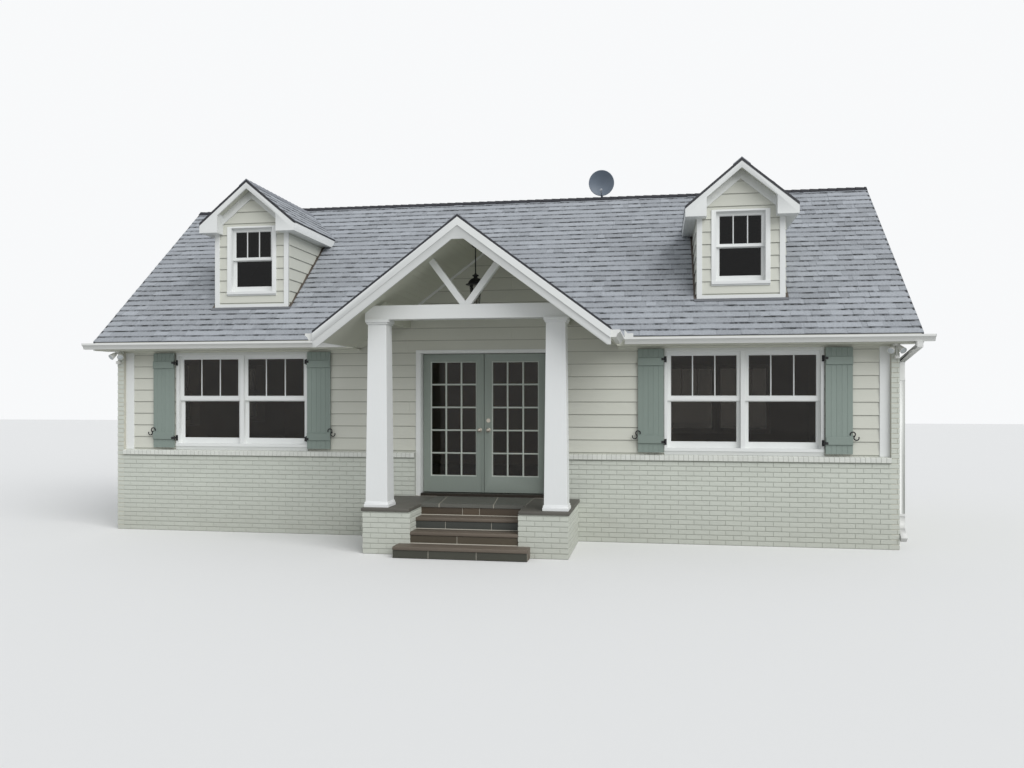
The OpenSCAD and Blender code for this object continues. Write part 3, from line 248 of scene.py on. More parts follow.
def lay(name, unit, outline, place, material, columns, rows, pitch, course, start, openings=(), **more):
    """Lays one field of units by the tree, seeded by its name's length, and returns its mesh in place."""
    field = new_object(name, bpy.data.meshes.new(name))
    used = [new_object(name + "_unit", unit), new_object(name + "_outline", prisms([outline])),
            new_object(name + "_openings", prisms(openings or [NOWHERE]))]
    values = {"Unit": used[0], "Outline": used[1], "Openings": used[2], "Columns": columns, "Rows": rows,
              "Pitch": pitch, "Course": course, "Start X": float(start[0]), "Start Z": float(start[1]),
              "Bond": 0.0, "Row Shift": 0.0, "Share": 1.0, "Least Width": 1.0, "Seed": len(name),
              "Material": material}
    values.update({key.replace("_", " "): value for key, value in more.items()})
    modifier = field.modifiers.new("courses", "NODES")
    modifier.node_group = course_tree
    for key, value in values.items():
        modifier[socket_of[key]] = value
    graph = bpy.context.evaluated_depsgraph_get()
    mesh = bpy.data.meshes.new_from_object(field.evaluated_get(graph))
    for helper in [field] + used:
        bpy.data.objects.remove(helper)
    mesh.transform(place)
    return mesh


def piece(name, meshes, body="house", stands_for=()):
    """Joins meshes into one piece, which rides on a body, and hides the CAD nodes that it stands for."""
    parts = [new_object(name, mesh) for mesh in meshes]
    if len(parts) > 1:
        with bpy.context.temp_override(active_object=parts[0], selected_editable_objects=parts):
            bpy.ops.object.join()
    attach(parts[0], body)
    if stands_for:
        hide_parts(*stands_for)
    return parts[0]


def coat(material, *nodes):
    """Gives the CAD nodes a material."""
    for node in nodes:
        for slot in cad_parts[node].material_slots:
            slot.material = material


def object_point(tree):
    """Where a point of the surface lies, in the frame's metres."""
    return add(tree, "ShaderNodeTexCoord").outputs["Object"]


def object_axes(tree):
    """The same point as three sockets, named X, Y and Z."""
    return add(tree, "ShaderNodeSeparateXYZ", {0: object_point(tree)}).outputs


def make_ageing_group():
    """Uneven colour, soiling near the ground, roughness and fine relief, for painted and bare surfaces."""
    tree = bpy.data.node_groups.new("ageing", "ShaderNodeTree")
    declare(tree, "INPUT", Color="Colour, Soil", Vector="Grain Scale",
            Float="Tone, Tone Spread, Patches, Grain, Soil Top, Soil Amount, Roughness")
    declare(tree, "OUTPUT", Color="Colour", Float="Roughness, Height")
    given = add(tree, "NodeGroupInput").outputs
    where = object_point(tree)
    stretched = add(tree, "ShaderNodeVectorMath", {0: where, 1: given["Grain Scale"]}, operation="MULTIPLY")
    grain = add(tree, "ShaderNodeTexNoise", {"Vector": stretched, "Scale": 1.0, "Detail": 5.0,
                                             "Roughness": 0.62})
    patch = add(tree, "ShaderNodeTexNoise", {"Vector": where, "Scale": 1.7, "Detail": 4.0})
    level = 1.0
    for source, spread in ((given["Tone"], "Tone Spread"), (grain, "Grain"), (patch, "Patches")):
        level = calc(tree, "MULTIPLY_ADD", calc(tree, "SUBTRACT", source, 0.5), given[spread], level)
    varied = add(tree, "ShaderNodeVectorMath", {0: given["Colour"], "Scale": level}, operation="SCALE")
    low = add(tree, "ShaderNodeMapRange", {
        "Value": object_axes(tree)["Z"], "From Min": 0.0, "From Max": given["Soil Top"], "To Min": 1.0,
        "To Max": 0.0}, interpolation_type="SMOOTHSTEP")
    soiled = calc(tree, "MULTIPLY", low, patch)
    soiled = calc(tree, "MULTIPLY", soiled, given["Soil Amount"], use_clamp=True)
    uneven = calc(tree, "SUBTRACT", grain, 0.5)
    rough = calc(tree, "MULTIPLY_ADD", uneven, 0.25, given["Roughness"], use_clamp=True)
    add(tree, "NodeGroupOutput", {"Colour": blend(tree, soiled, varied, given["Soil"]), "Roughness": rough,
                                  "Height": grain})
    return tree


ageing = make_ageing_group()


def shade(red, green, blue):
    """A colour as seen on a screen, 0 to 255, turned into the renderer's own numbers."""
    return tuple((c / 255) ** 2.2 for c in (red, green, blue)) + (1,)


def aged(name, colour, roughness=0.55, relief=0.0008, toned=0.0, patches=0.08, grain=0.10, scale=40,
         soil=(118, 108, 92), soil_top=0.5, soil_amount=0.0, **values):
    """A material whose colour, roughness and relief come from the ageing group."""
    material = shader_material(name, roughness, **values)
    tree = material.node_tree
    group = add(tree, "ShaderNodeGroup", {
        "Colour": shade(*colour), "Soil": shade(*soil), "Tone": 0.5, "Tone Spread": toned, "Patches": patches,
        "Grain Scale": scale if isinstance(scale, tuple) else (scale, scale, scale), "Grain": grain,
        "Soil Top": soil_top, "Soil Amount": soil_amount, "Roughness": roughness}, node_tree=ageing)
    if toned:
        tone = add(tree, "ShaderNodeAttribute", attribute_name="tone")
        tree.links.new(tone.outputs["Fac"], group.inputs["Tone"])
    bump = add(tree, "ShaderNodeBump", {"Height": group.outputs["Height"], "Distance": relief,
                                        "Strength": 1.0})
    feed(material, Base_Color=group.outputs["Colour"], Roughness=group.outputs["Roughness"], Normal=bump)
    return material


painted_brick = aged("painted_brick", (198, 202, 192), 0.62, 0.004, toned=0.05, scale=55, soil_top=0.9,
                     soil_amount=0.30)
painted_joint = aged("painted_joint", (172, 175, 166), 0.75, 0.003, grain=0.18, scale=90, soil_amount=0.25)
BRICK = (0.2085, 0.057)
JOINT = (0.0045, 0.010)


def rectangle(x0, x1, z0, z1):
    """An upright rectangle's four corners, anticlockwise."""
    return [(x0, z0), (x1, z0), (x1, z1), (x0, z1)]


def slab(outline, proud, chamfer, back=0.004):
    """A plate over an anticlockwise outline: it stands proud of its face, and its front edges are eased."""
    n = len(outline)
    inner = []
    for i, (x, z) in enumerate(outline):
        before = Vector((x - outline[i - 1][0], z - outline[i - 1][1])).normalized()
        after = Vector((outline[(i + 1) % n][0] - x, outline[(i + 1) % n][1] - z)).normalized()
        turn = before.x * after.y - before.y * after.x
        inner.append((x + chamfer * (before.x - after.x) / -turn, z + chamfer * (before.y - after.y) / -turn))
    points = []
    for y, ring in ((back, outline), (-proud + chamfer, outline), (-proud, inner)):
        points += [(x, y, z) for x, z in ring]
    faces = [tuple(range(n)), tuple(range(2 * n, 3 * n))]
    faces += [(r + i, r + (i + 1) % n, r + n + (i + 1) % n, r + n + i) for r in (0, n) for i in range(n)]
    return plain_mesh("slab", points, faces)


def pillow(width, height, proud, chamfer, back=0.004):
    """A brick, board or tile of that size, centred."""
    return slab(rectangle(-width / 2, width / 2, -height / 2, height / 2), proud, chamfer, back)


def extent(outline):
    """An outline's least x, its width, and its least and greatest z."""
    xs, zs = zip(*outline)
    return min(xs), max(xs) - min(xs), min(zs), max(zs)


def brickwork(name, outline, place, openings=(), shift=0.0):
    """A field of brick whose courses start at the ground."""
    left, width, foot, top = extent(outline)
    pitch = BRICK[0] + JOINT[0]
    course = BRICK[1] + JOINT[1] + 0.0007
    return lay(name, pillow(*BRICK, 0.006, 0.003), outline, place, painted_brick, int(width / pitch) + 3,
               int(top / course) + 2, pitch, course, (left + pitch * (shift - 0.5), course / 2), openings,
               Bond=0.5)


CORNER = 0.0055
CORNER_STRIP = 0.1
DOOR_X = 0.04
DOOR_CASING_HALF = 0.999
PIER_OUT = 1.5
PIER_HALF = (0.715, 1.345)
PIER_TOP = 0.555
PIER_CAP = 0.045
base_back = HOUSE_DEPTH - BASE_FACE_Y
edge = BRICK_FACE_X + CORNER
strip = BRICK_FACE_X - CORNER_STRIP
door_left = DOOR_X - DOOR_CASING_HALF
door_right = DOOR_X + DOOR_CASING_HALF
front_left = [(-edge, 0), (door_left, 0), (door_left, BASE_TOP), (-strip, BASE_TOP), (-strip, SOFFIT_Z),
              (-edge, SOFFIT_Z)]
front_right = [(door_right, 0), (edge, 0), (edge, SOFFIT_Z), (strip, SOFFIT_Z), (strip, BASE_TOP),
               (door_right, BASE_TOP)]
back_outline = [(-edge, 0), (edge, 0), (edge, SOFFIT_Z), (strip, SOFFIT_Z), (strip, BASE_TOP),
                (-strip, BASE_TOP), (-strip, SOFFIT_Z), (-edge, SOFFIT_Z)]
behind_piers = [rectangle(PORCH_X - PIER_HALF[1], PORCH_X + PIER_HALF[1], -0.1, PIER_TOP + PIER_CAP)]
base_face = face_of((0, BASE_FACE_Y, 0))
piece("front_bricks", [brickwork("front_left", front_left, base_face, behind_piers),
                       brickwork("front_right", front_right, base_face, behind_piers, 0.4)])
piece("back_bricks", [brickwork("back_base", back_outline, face_of((0, base_back, 0), (-1, 0, 0)))])

ROOF_SLOPE = 10 / 12
ROOF_AT_WALL = 3.174
ROOF_T = 0.205
RIDGE_Y = HOUSE_DEPTH / 2
wall_top = ROOF_AT_WALL - ROOF_T
gable = [(BASE_FACE_Y, 0), (base_back, 0), (base_back, SOFFIT_Z), (HOUSE_DEPTH, SOFFIT_Z),
         (HOUSE_DEPTH, wall_top), (RIDGE_Y, wall_top + RIDGE_Y * ROOF_SLOPE), (0, wall_top), (0, SOFFIT_Z),
         (BASE_FACE_Y, SOFFIT_Z)]
SIDE_CASING_HALF = 0.435
SIDE_SILL, SIDE_HEAD = 0.120, 0.085
SIDE_WINDOWS = [(HOUSE_DEPTH * 0.27, 1.640, 2.636), (HOUSE_DEPTH * 0.73, 1.640, 2.636),
                (RIDGE_Y, 3.7007, 4.5607)]
side_openings = [rectangle(y - SIDE_CASING_HALF, y + SIDE_CASING_HALF, low - SIDE_SILL, top + SIDE_HEAD)
                 for y, low, top in SIDE_WINDOWS]
right_face = face_of((BRICK_FACE_X, 0, 0), (0, 1, 0))
left_face = face_of((-BRICK_FACE_X, HOUSE_DEPTH, 0), (0, -1, 0))
for side, place in (("right_side", right_face), ("left_side", left_face)):
    piece(side + "_bricks", [brickwork(side, gable, place, side_openings, 0.5)])

pier_bricks = []
for side in (-1, 1):
    low_x, high_x = sorted(PORCH_X + side * half for half in PIER_HALF)
    pier_bricks += [
        brickwork("pier_front", rectangle(low_x - CORNER, high_x + CORNER, 0, PIER_TOP),
                  face_of((0, -PIER_OUT, 0))),
        brickwork("pier_right", rectangle(-PIER_OUT, BASE_FACE_Y, 0, PIER_TOP),
                  face_of((high_x, 0, 0), (0, 1, 0)), shift=0.5),
        brickwork("pier_left", rectangle(-BASE_FACE_Y, PIER_OUT, 0, PIER_TOP),
                  face_of((low_x, 0, 0), (0, -1, 0)))]
piece("pier_bricks", pier_bricks)

# Rowlock course: bricks laid on edge that top the base. Each slopes outwards and stands a little
# proud of the wall below, so that it sheds the water that runs off the siding.
rowlock_brick = aged("rowlock_brick", (214, 216, 209), 0.6, 0.004, toned=0.08, grain=0.12, scale=60)
front_wall = face_of((0, 0, 0))
back_wall = face_of((0, HOUSE_DEPTH, 0), (-1, 0, 0))


def bar(profile, start, end, axis):
    """A closed bar over a profile, from start to end along X, Y or Z, which is axis 0, 1 or 2."""
    points = []
    for run in (start, end):
        points += [(*corner[:axis], run, *corner[axis:]) for corner in profile]
    return plain_mesh("bar", points, bar_faces(len(profile)))


def rowlocks(name, x0, x1, place):
    """A run of bricks on edge between two places, their outer corners eased."""
    profile = [(0.0, 1.163), (0.0, 1.2405), (-0.101, 1.2305), (-0.109, 1.223), (-0.109, 1.166),
               (-0.106, 1.163)]
    half = (BRICK[1] + 0.004) / 2
    count = round((x1 - x0) / (BRICK[1] + JOINT[1]))
    pitch = (x1 - x0) / count
    return lay(name, bar(profile, -half, half, 0), rectangle(x0, x1, 1, 1.5), place, rowlock_brick, count, 1,
               pitch, 1.0, (x0 + pitch / 2, 0))


piece("rowlock_bricks", [rowlocks("rowlock_left", -strip, door_left, front_wall),
                         rowlocks("rowlock_right", door_right, strip, front_wall),
                         rowlocks("rowlock_back", -strip, strip, back_wall)])
coat(painted_joint, "brick_base", "rowlock_course", "porch_piers", "porch_base")

# Lap siding: painted boards with 180 mm to the weather, thick at the lower edge, in lengths of 3.66 m
# whose butt joints are staggered from course to course. It covers the front, the back and the dormers.
SIDING_COLOUR = (202, 203, 192)
BOARD_LENGTH = 3.66
FIRST_LAP, EXPOSURE = 1.260, 0.180
DORMER_LAP, DORMER_EXPOSURE = 3.698, 0.178
SIDING_FOOT = 1.243
WINDOW_HOLE_FOOT, WINDOW_HOLE_TOP = 1.2, 2.8
WALL_TOP = 2.730
CORNER_BOARD_X = 5.495
WINDOW_X = 3.71
WINDOW_CASING_HALF = 1.0735
DOOR_CASING_TOP = 2.735
PORCH_HALF = 1.9
PORCH_SLOPE = 0.75
CEILING_PEAK = 4.1715
window_xs = (-WINDOW_X, WINDOW_X)


def courses_up(tree, first_lap, course):
    """How many courses a point of the surface is above the first lap."""
    return calc(tree, "DIVIDE", calc(tree, "SUBTRACT", object_axes(tree)["Z"], first_lap), course)


def make_lap_group():
    """Darkens the top of every course, where the course above laps over it: painted shade, with some dirt."""
    tree = bpy.data.node_groups.new("lap_shade", "ShaderNodeTree")
    declare(tree, "INPUT", Color="Colour", Float="Darkness, First Lap, Course, Shade Starts, Shade Full")
    declare(tree, "OUTPUT", Color="Colour")
    given = add(tree, "NodeGroupInput").outputs
    part = calc(tree, "FRACT", courses_up(tree, given["First Lap"], given["Course"]))
    band = add(tree, "ShaderNodeMapRange", {"Value": part, "From Min": given["Shade Starts"],
                                            "From Max": given["Shade Full"]}, interpolation_type="SMOOTHSTEP")
    level = calc(tree, "SUBTRACT", 1.0, calc(tree, "MULTIPLY", band, given["Darkness"]))
    shaded = add(tree, "ShaderNodeVectorMath", {0: given["Colour"], "Scale": level}, operation="SCALE")
    add(tree, "NodeGroupOutput", {"Colour": shaded})
    return tree


lap_shade = make_lap_group()


def colour_of(material):
    """The socket that feeds a material's colour."""
    return material.node_tree.nodes["Principled BSDF"].inputs["Base Color"].links[0].from_socket


def lapped(material, first_lap, course, starts, full, darkness):
    """Puts the lap shade over a material's colour."""
    group = add(material.node_tree, "ShaderNodeGroup", {
        "Colour": colour_of(material), "Darkness": darkness, "First Lap": first_lap, "Course": course,
        "Shade Starts": starts, "Shade Full": full}, node_tree=lap_shade)
    feed(material, Base_Color=group)


def lap_board(length, exposure, butt=0.017, tip=0.003):
    """A board that tapers upwards, its lower edge standing out from the wall."""
    profile = [(0.004, 0.0005), (-butt + 0.002, 0.0005), (-butt, 0.003), (-tip, exposure - 0.0005),
               (0.004, exposure - 0.0005)]
    return bar(profile, 0.001, length - 0.001, 0)


siding_paints = {}
for first_lap, course in ((FIRST_LAP, EXPOSURE), (DORMER_LAP, DORMER_EXPOSURE)):
    siding_paints[course] = aged("siding_paint", SIDING_COLOUR, 0.5, 0.0010, toned=0.045, patches=0.05,
                                 grain=0.06, scale=(3, 60, 90), soil_top=1.6, soil_amount=0.10)
    # Painted shade, with some dirt, darkens the top of each course under the butt of the course above.
    lapped(siding_paints[course], first_lap, course, 0.925, 0.965, 0.38)


def siding(name, outline, place, first_z, openings=(), exposure=EXPOSURE):
    """A field of lap siding with a butt line at first_z."""
    left, width, foot, top = extent(outline)
    start_z = first_z - math.ceil((first_z - foot) / exposure) * exposure
    return lay(name, lap_board(BOARD_LENGTH, exposure), outline, place, siding_paints[exposure],
               int(width / BOARD_LENGTH) + 3, int((top - start_z) / exposure) + 1, BOARD_LENGTH, exposure,
               (left - BOARD_LENGTH, start_z), openings, Row_Shift=1.0)


window_holes = [rectangle(x - WINDOW_CASING_HALF, x + WINDOW_CASING_HALF, WINDOW_HOLE_FOOT, WINDOW_HOLE_TOP)
                for x in window_xs]
door_hole = rectangle(door_left, door_right, 0, DOOR_CASING_TOP)
siding_peak = CEILING_PEAK + 0.017
porch_foot = siding_peak - PORCH_HALF * PORCH_SLOPE
front_siding = [(-CORNER_BOARD_X, SIDING_FOOT), (CORNER_BOARD_X, SIDING_FOOT), (CORNER_BOARD_X, WALL_TOP),
                (PORCH_X + PORCH_HALF, WALL_TOP), (PORCH_X + PORCH_HALF, porch_foot), (PORCH_X, siding_peak),
                (PORCH_X - PORCH_HALF, porch_foot), (PORCH_X - PORCH_HALF, WALL_TOP),
                (-CORNER_BOARD_X, WALL_TOP)]
back_siding = rectangle(-CORNER_BOARD_X, CORNER_BOARD_X, SIDING_FOOT, WALL_TOP)
piece("front_siding", [siding("front_siding", front_siding, front_wall, FIRST_LAP,
                              window_holes + [door_hole])])
piece("back_siding", [siding("back_siding", back_siding, back_wall, FIRST_LAP, window_holes)])

DORMER_HALF = 0.612
DORMER_Y = 0.3428
DORMER_RIDGE = 5.3957
DORMER_BOX_Z = 4.598
DORMER_RETURN = 0.482
DORMER_FRIEZE = 0.240
DORMER_FOOT = 3.4997
DORMER_CORNER_BOARD = 0.076
dormer_hole = rectangle(-0.408, 0.408, 3.6337, 4.7187)


def mirrored(outline):
    """An outline seen from the other side."""
    return [(-x, z) for x, z in outline]


inner = DORMER_HALF - DORMER_CORNER_BOARD
peak = DORMER_RIDGE - DORMER_FRIEZE
shoulder = peak - DORMER_RETURN * ROOF_SLOPE
dormer_face = [(-inner, DORMER_FOOT), (inner, DORMER_FOOT), (inner, DORMER_BOX_Z),
               (DORMER_RETURN, DORMER_BOX_Z), (DORMER_RETURN, shoulder), (0, peak),
               (-DORMER_RETURN, shoulder), (-DORMER_RETURN, DORMER_BOX_Z), (-inner, DORMER_BOX_Z)]
cheek = [(DORMER_Y, ROOF_AT_WALL + DORMER_Y * ROOF_SLOPE),
         ((DORMER_BOX_Z - ROOF_AT_WALL) / ROOF_SLOPE, DORMER_BOX_Z), (DORMER_Y, DORMER_BOX_Z)]
dormer_siding = []
for x in window_xs:
    for name, outline, place, holes in (
            ("dormer_face", dormer_face, face_of((x, DORMER_Y, 0)), [dormer_hole]),
            ("dormer_cheek", cheek, face_of((x + DORMER_HALF, 0, 0), (0, 1, 0)), ()),
            ("dormer_cheek", mirrored(cheek), face_of((x - DORMER_HALF, 0, 0), (0, -1, 0)), ())):
        dormer_siding.append(siding(name, outline, place, DORMER_LAP, holes, DORMER_EXPOSURE))
piece("dormer_siding", dormer_siding)

# White trim: the corner boards and rake boards are painted planks, and the boxed eaves are boards in
# the siding's colour. Each is the CAD shape with its arrises planed off, so that they catch the light.
trim_paint = aged("trim_paint", (224, 226, 224), 0.42, 0.0006, patches=0.03, grain=0.035,
                  scale=(25, 25, 60), soil_top=1.0, soil_amount=0.15)
trim_along = aged("trim_paint_along", (224, 226, 224), 0.42, 0.0006, patches=0.03, grain=0.035,
                  scale=(6, 60, 60), soil_top=0.8, soil_amount=0.12)
eaves_paint = aged("eaves_paint", (200, 201, 188), 0.5, 0.0008, patches=0.05, grain=0.05, scale=(4, 60, 60))


def eased_mesh(node, width=0.0, segments=1, smooth=35):
    """A copy of a CAD node's mesh with its sharp edges planed off and its curves smooth."""
    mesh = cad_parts[node].data.copy()
    work = bmesh.new()
    work.from_mesh(mesh)
    bmesh.ops.remove_doubles(work, verts=work.verts, dist=1e-5)
    bmesh.ops.dissolve_limit(work, angle_limit=math.radians(1), verts=work.verts, edges=work.edges)
    if width:
        sharp = [e for e in work.edges if len(e.link_faces) == 2 and e.calc_face_angle() > math.radians(30)]
        bmesh.ops.bevel(work, geom=sharp, offset=width, segments=segments, profile=0.5, affect="EDGES",
                        clamp_overlap=True)
    bmesh.ops.recalc_face_normals(work, faces=work.faces)
    for face in work.faces:
        face.smooth = True
    work.to_mesh(mesh)
    work.free()
    mesh.set_sharp_from_angle(angle=math.radians(smooth))
    return mesh


def eased(name, nodes, material, slot, width=0.0, body="house", **more):
    """One piece that stands for CAD nodes and gives them eased edges."""
    meshes = []
    for node in nodes:
        mesh = eased_mesh(node, width, **more)
        mesh.materials.clear()
        mesh.materials.append(material)
        meshes.append(mesh)
    return piece(name, meshes, body, nodes)


eased("planed_corner_boards", ["corner_boards"], trim_paint, "white_trim", 0.003)
eased("gable_bargeboards", ["gable_rake_boards"], trim_along, "white_trim", 0.003)
eased("boxed_eaves", ["eaves"], eaves_paint, "siding", 0.003)

# Double-hung windows: painted wood sashes in flat casings, two upright bars in each upper sash,
# and a sloped glazing bead round every pane.
for wall in ("front", "back", "side", "dormer"):
    eased(wall + "_sash_windows", [wall + "_windows"], trim_paint, "white_trim", 0.0025)
SASH_OUT = 0.036
SASH_T = 0.032
PANE_MIDDLE = 0.016
GLASS_LOW, GLASS_TOP, MEETING = 1.412, 2.636, 0.062
PANE_HALF, PANE_PITCH = 0.4585, 1.060
SIDE_PANE_HALF = 0.35
DORMER_PANE_HALF = 0.30
DORMER_GLASS_LOW, DORMER_GLASS_TOP, DORMER_MEETING = 3.7737, 4.6457, 0.036


def placed(mesh, material, place):
    """A mesh with its material, moved to its place."""
    mesh.materials.append(material)
    mesh.transform(place)
    return mesh


def bar_unit(length, half=0.009, proud=0.014, upright=True):
    """A window bar, moulded on both faces of the pane, at the height or width of its glass."""
    profile = [(-half, 0.005), (-half * 0.4, proud), (half * 0.4, proud), (half, 0.005),
               (half, -0.005), (half * 0.4, -proud), (-half * 0.4, -proud), (-half, -0.005)]
    if upright:
        return bar(profile, 0, length, 2)
    return bar([(y, across) for across, y in profile], 0, length, 0)


def bead_ring(x0, x1, z0, z1, y_face, y_glass, width=0.011):
    """A sloped bead round a pane, from the sash's face down to the glass."""
    points = []
    for inset, y in ((0.0, y_face), (0.0, y_glass), (width, y_glass)):
        points += [(x, y, z) for x, z in rectangle(x0 + inset, x1 - inset, z0 + inset, z1 - inset)]
    faces = [(a * 4 + i, a * 4 + (i + 1) % 4, b * 4 + (i + 1) % 4, b * 4 + i)
             for a, b in ((0, 1), (1, 2), (2, 0)) for i in range(4)]
    return plain_mesh("beads", points, faces)


def sash_details(centre, half, low, top, meeting, place):
    """The bars of an upper sash, and the beads of both sashes, both inside and out."""
    middle = (low + top) / 2
    upper_low = middle + meeting / 2
    lower_top = middle - meeting / 2
    pitch = 2 * half / 3
    meshes = [lay("bars", bar_unit(top - upper_low), rectangle(centre - half, centre + half, upper_low, top),
                  place @ Matrix.Translation((0, SASH_OUT + PANE_MIDDLE, 0)), trim_paint, 2, 1, pitch, 1.0,
                  (centre - half + pitch, upper_low))]
    for z0, z1, y in ((upper_low, top, SASH_OUT), (low, lower_top, SASH_OUT + SASH_T)):
        for face_y, glass_y in ((y + 0.001, y + PANE_MIDDLE - 0.004),
                                (y + SASH_T - 0.001, y + PANE_MIDDLE + 0.004)):
            beads = bead_ring(centre - half, centre + half, z0, z1, face_y, glass_y)
            meshes.append(placed(beads, trim_paint, place))
    return meshes


details = []
for place in (front_wall, back_wall):
    for x in window_xs:
        for centre in (x - PANE_PITCH / 2, x + PANE_PITCH / 2):
            details += sash_details(centre, PANE_HALF, GLASS_LOW, GLASS_TOP, MEETING, place)
for place in (right_face, left_face):
    for y, low, top in SIDE_WINDOWS:
        details += sash_details(y, SIDE_PANE_HALF, low, top, MEETING, place)
for x in window_xs:
    details += sash_details(0, DORMER_PANE_HALF, DORMER_GLASS_LOW, DORMER_GLASS_TOP, DORMER_MEETING,
                            face_of((x, DORMER_Y, 0)))
piece("window_bars_and_beads", details)

# Window glass: clear sealed panes before unlit rooms. Those at the back and upstairs are tinted nearly black,
# painted shade of the dark rooms behind, so that every pane shows a dark room.
glass = shader_material("window_glass", 0.02, Transmission_Weight=1.0, IOR=1.33)
glass_tree = glass.node_tree
ripple = add(glass_tree, "ShaderNodeTexNoise", {"Vector": object_point(glass_tree), "Scale": 2.5,
                                                "Detail": 1.0})
glass_axes = object_axes(glass_tree)
# Painted shade: panes at the back and upstairs are tinted nearly black, so that the rooms behind them look
# dark.
room_shade_mask = calc(glass_tree, "MAXIMUM", calc(glass_tree, "GREATER_THAN", glass_axes["Y"], 0.6),
           calc(glass_tree, "GREATER_THAN", glass_axes["Z"], 3.0))
pane = blend(glass_tree, ripple, (0.33, 0.29, 0.24, 1), (0.42, 0.38, 0.31, 1))
feed(glass, Base_Color=blend(glass_tree, room_shade_mask, pane, (0.05, 0.05, 0.05, 1)),
     Normal=add(glass_tree, "ShaderNodeBump", {"Height": ripple, "Distance": 0.002}))
coat(glass, "ground_floor_glass", "upper_floor_glass", "door_glass_left", "door_glass_right")

# Shutters: five upright boards with fine V joints, held by a batten near each end, painted grey-green
# and hung on pintles. Each leans back, so that its free edge lies close to the siding.
shutter_paint = aged("shutter_paint", (127, 139, 132), 0.5, 0.0012, toned=0.05, patches=0.06,
                     scale=(60, 60, 5))
black_iron = aged("black_iron", (34, 34, 36), 0.55, 0.0006, patches=0.2, grain=0.25, scale=150, Metallic=0.3)
SHUTTER_W, SHUTTER_LOW, SHUTTER_HIGH, SHUTTER_T = 0.358, 1.272, 2.722, 0.024
SHUTTER_BOARDS = 5
BATTEN = (0.110, 0.020)
BATTEN_LOW = SHUTTER_LOW + 0.125
BATTEN_HIGH = SHUTTER_HIGH - 0.125 - BATTEN[0]
SHUTTER_CLEARANCE = 0.006
slant = math.radians(4)
run = (SHUTTER_W * math.cos(slant), SHUTTER_W * math.sin(slant))
hinge_x = WINDOW_CASING_HALF + SHUTTER_CLEARANCE
hinge_y = -(run[1] + 0.025)
board_w = SHUTTER_W / SHUTTER_BOARDS


def grooved_board(width, height, thick, groove):
    """An upright board with its long edges chamfered, so that two of them meet in a V."""
    half = width / 2 - 0.0003
    profile = [(-half, 0), (-half, -thick + groove), (-half + groove, -thick), (half - groove, -thick),
               (half, -thick + groove), (half, 0)]
    return bar(profile, 0, height, 2)


shutters = []
shutter_outline = rectangle(0, SHUTTER_W, SHUTTER_LOW, SHUTTER_HIGH)
for x in window_xs:
    for place in (face_of((x + hinge_x, hinge_y, 0), (run[0], run[1], 0)),
                  face_of((x - hinge_x - run[0], hinge_y + run[1], 0), (run[0], -run[1], 0))):
        shutters += [
            lay("shutter_boards", grooved_board(board_w, SHUTTER_HIGH - SHUTTER_LOW, SHUTTER_T, 0.002),
                shutter_outline, place, shutter_paint, SHUTTER_BOARDS, 1, board_w, 1.0,
                (board_w / 2, SHUTTER_LOW)),
            lay("shutter_battens", pillow(SHUTTER_W, BATTEN[0], SHUTTER_T + BATTEN[1], 0.005, -0.02),
                shutter_outline, place, shutter_paint, 1, 2, 1.0, BATTEN_HIGH - BATTEN_LOW,
                (SHUTTER_W / 2, BATTEN_LOW + BATTEN[0] / 2))]
piece("board_and_batten_shutters", shutters, stands_for=["front_shutters"])
eased("shutter_pintles_and_dogs", ["shutter_ironwork"], black_iron, "black_iron", 0.001)

# Entrance: a pair of glazed leaves with fifteen lites each, painted grey-green, in a white frame
# with a flat casing. The lites' bars are a paler tone, and are moulded on both faces.
door_paint = aged("door_paint", (136, 145, 137), 0.45, patches=0.05, grain=0.08, scale=(50, 50, 5),
                  soil=(90, 88, 80), soil_top=1.2, soil_amount=0.2)
door_bar_paint = aged("door_bar_paint", (190, 196, 187), 0.45, 0.0006, patches=0.04, grain=0.05,
                      scale=(50, 50, 20))
threshold = aged("threshold_bronze", (52, 47, 41), 0.4, 0.0004, patches=0.2, grain=0.15, scale=(6, 60, 60),
                 Metallic=0.4)
satin_nickel = aged("satin_nickel", (176, 170, 158), 0.32, 0.0002, patches=0.1, scale=200, Metallic=1.0)
LEAF_Y, LEAF_T, LEAF_CENTRE = 0.100, 0.044, 0.46
LITE_LOW, LITE_HIGH, LITE_HALF = 0.883, 2.568, 0.345
THRESHOLD_TOP, THRESHOLD_HALF = 0.641, 0.92
door_surround = eased("door_casing_and_jambs", ["door_frame"], trim_paint, "white_trim", 0.002).data
door_surround.materials.append(threshold)
for face in door_surround.polygons:
    if face.center.z < THRESHOLD_TOP and abs(face.center.x - DOOR_X) < THRESHOLD_HALF:
        face.material_index = 1
lites = rectangle(-LITE_HALF, LITE_HALF, LITE_LOW, LITE_HIGH)
across = 2 * LITE_HALF / 3
rise = (LITE_HIGH - LITE_LOW) / 5
for side, centre in (("left", DOOR_X - LEAF_CENTRE), ("right", DOOR_X + LEAF_CENTRE)):
    body = "door_leaf_" + side
    eased(side + "_door_stiles_and_rails", [body], door_paint, "blue_grey_paint", 0.002, body)
    middle = face_of((centre, LEAF_Y + LEAF_T / 2, 0))
    bars = [lay("upright_bars", bar_unit(LITE_HIGH - LITE_LOW, 0.013, 0.019), lites, middle, door_bar_paint,
                2, 1, across, 1.0, (-LITE_HALF + across, LITE_LOW)),
            lay("level_bars", bar_unit(2 * LITE_HALF, 0.013, 0.018, False), lites, middle, door_bar_paint,
                1, 4, 1.0, rise, (-LITE_HALF, LITE_LOW + rise))]
    for face_y, glass_y in ((-LEAF_T / 2 + 0.001, -0.004), (LEAF_T / 2 - 0.001, 0.004)):
        beads = bead_ring(-LITE_HALF, LITE_HALF, LITE_LOW, LITE_HIGH, face_y, glass_y, 0.014)
        bars.append(placed(beads, door_bar_paint, middle))
    piece(side + "_door_bars", bars, body)
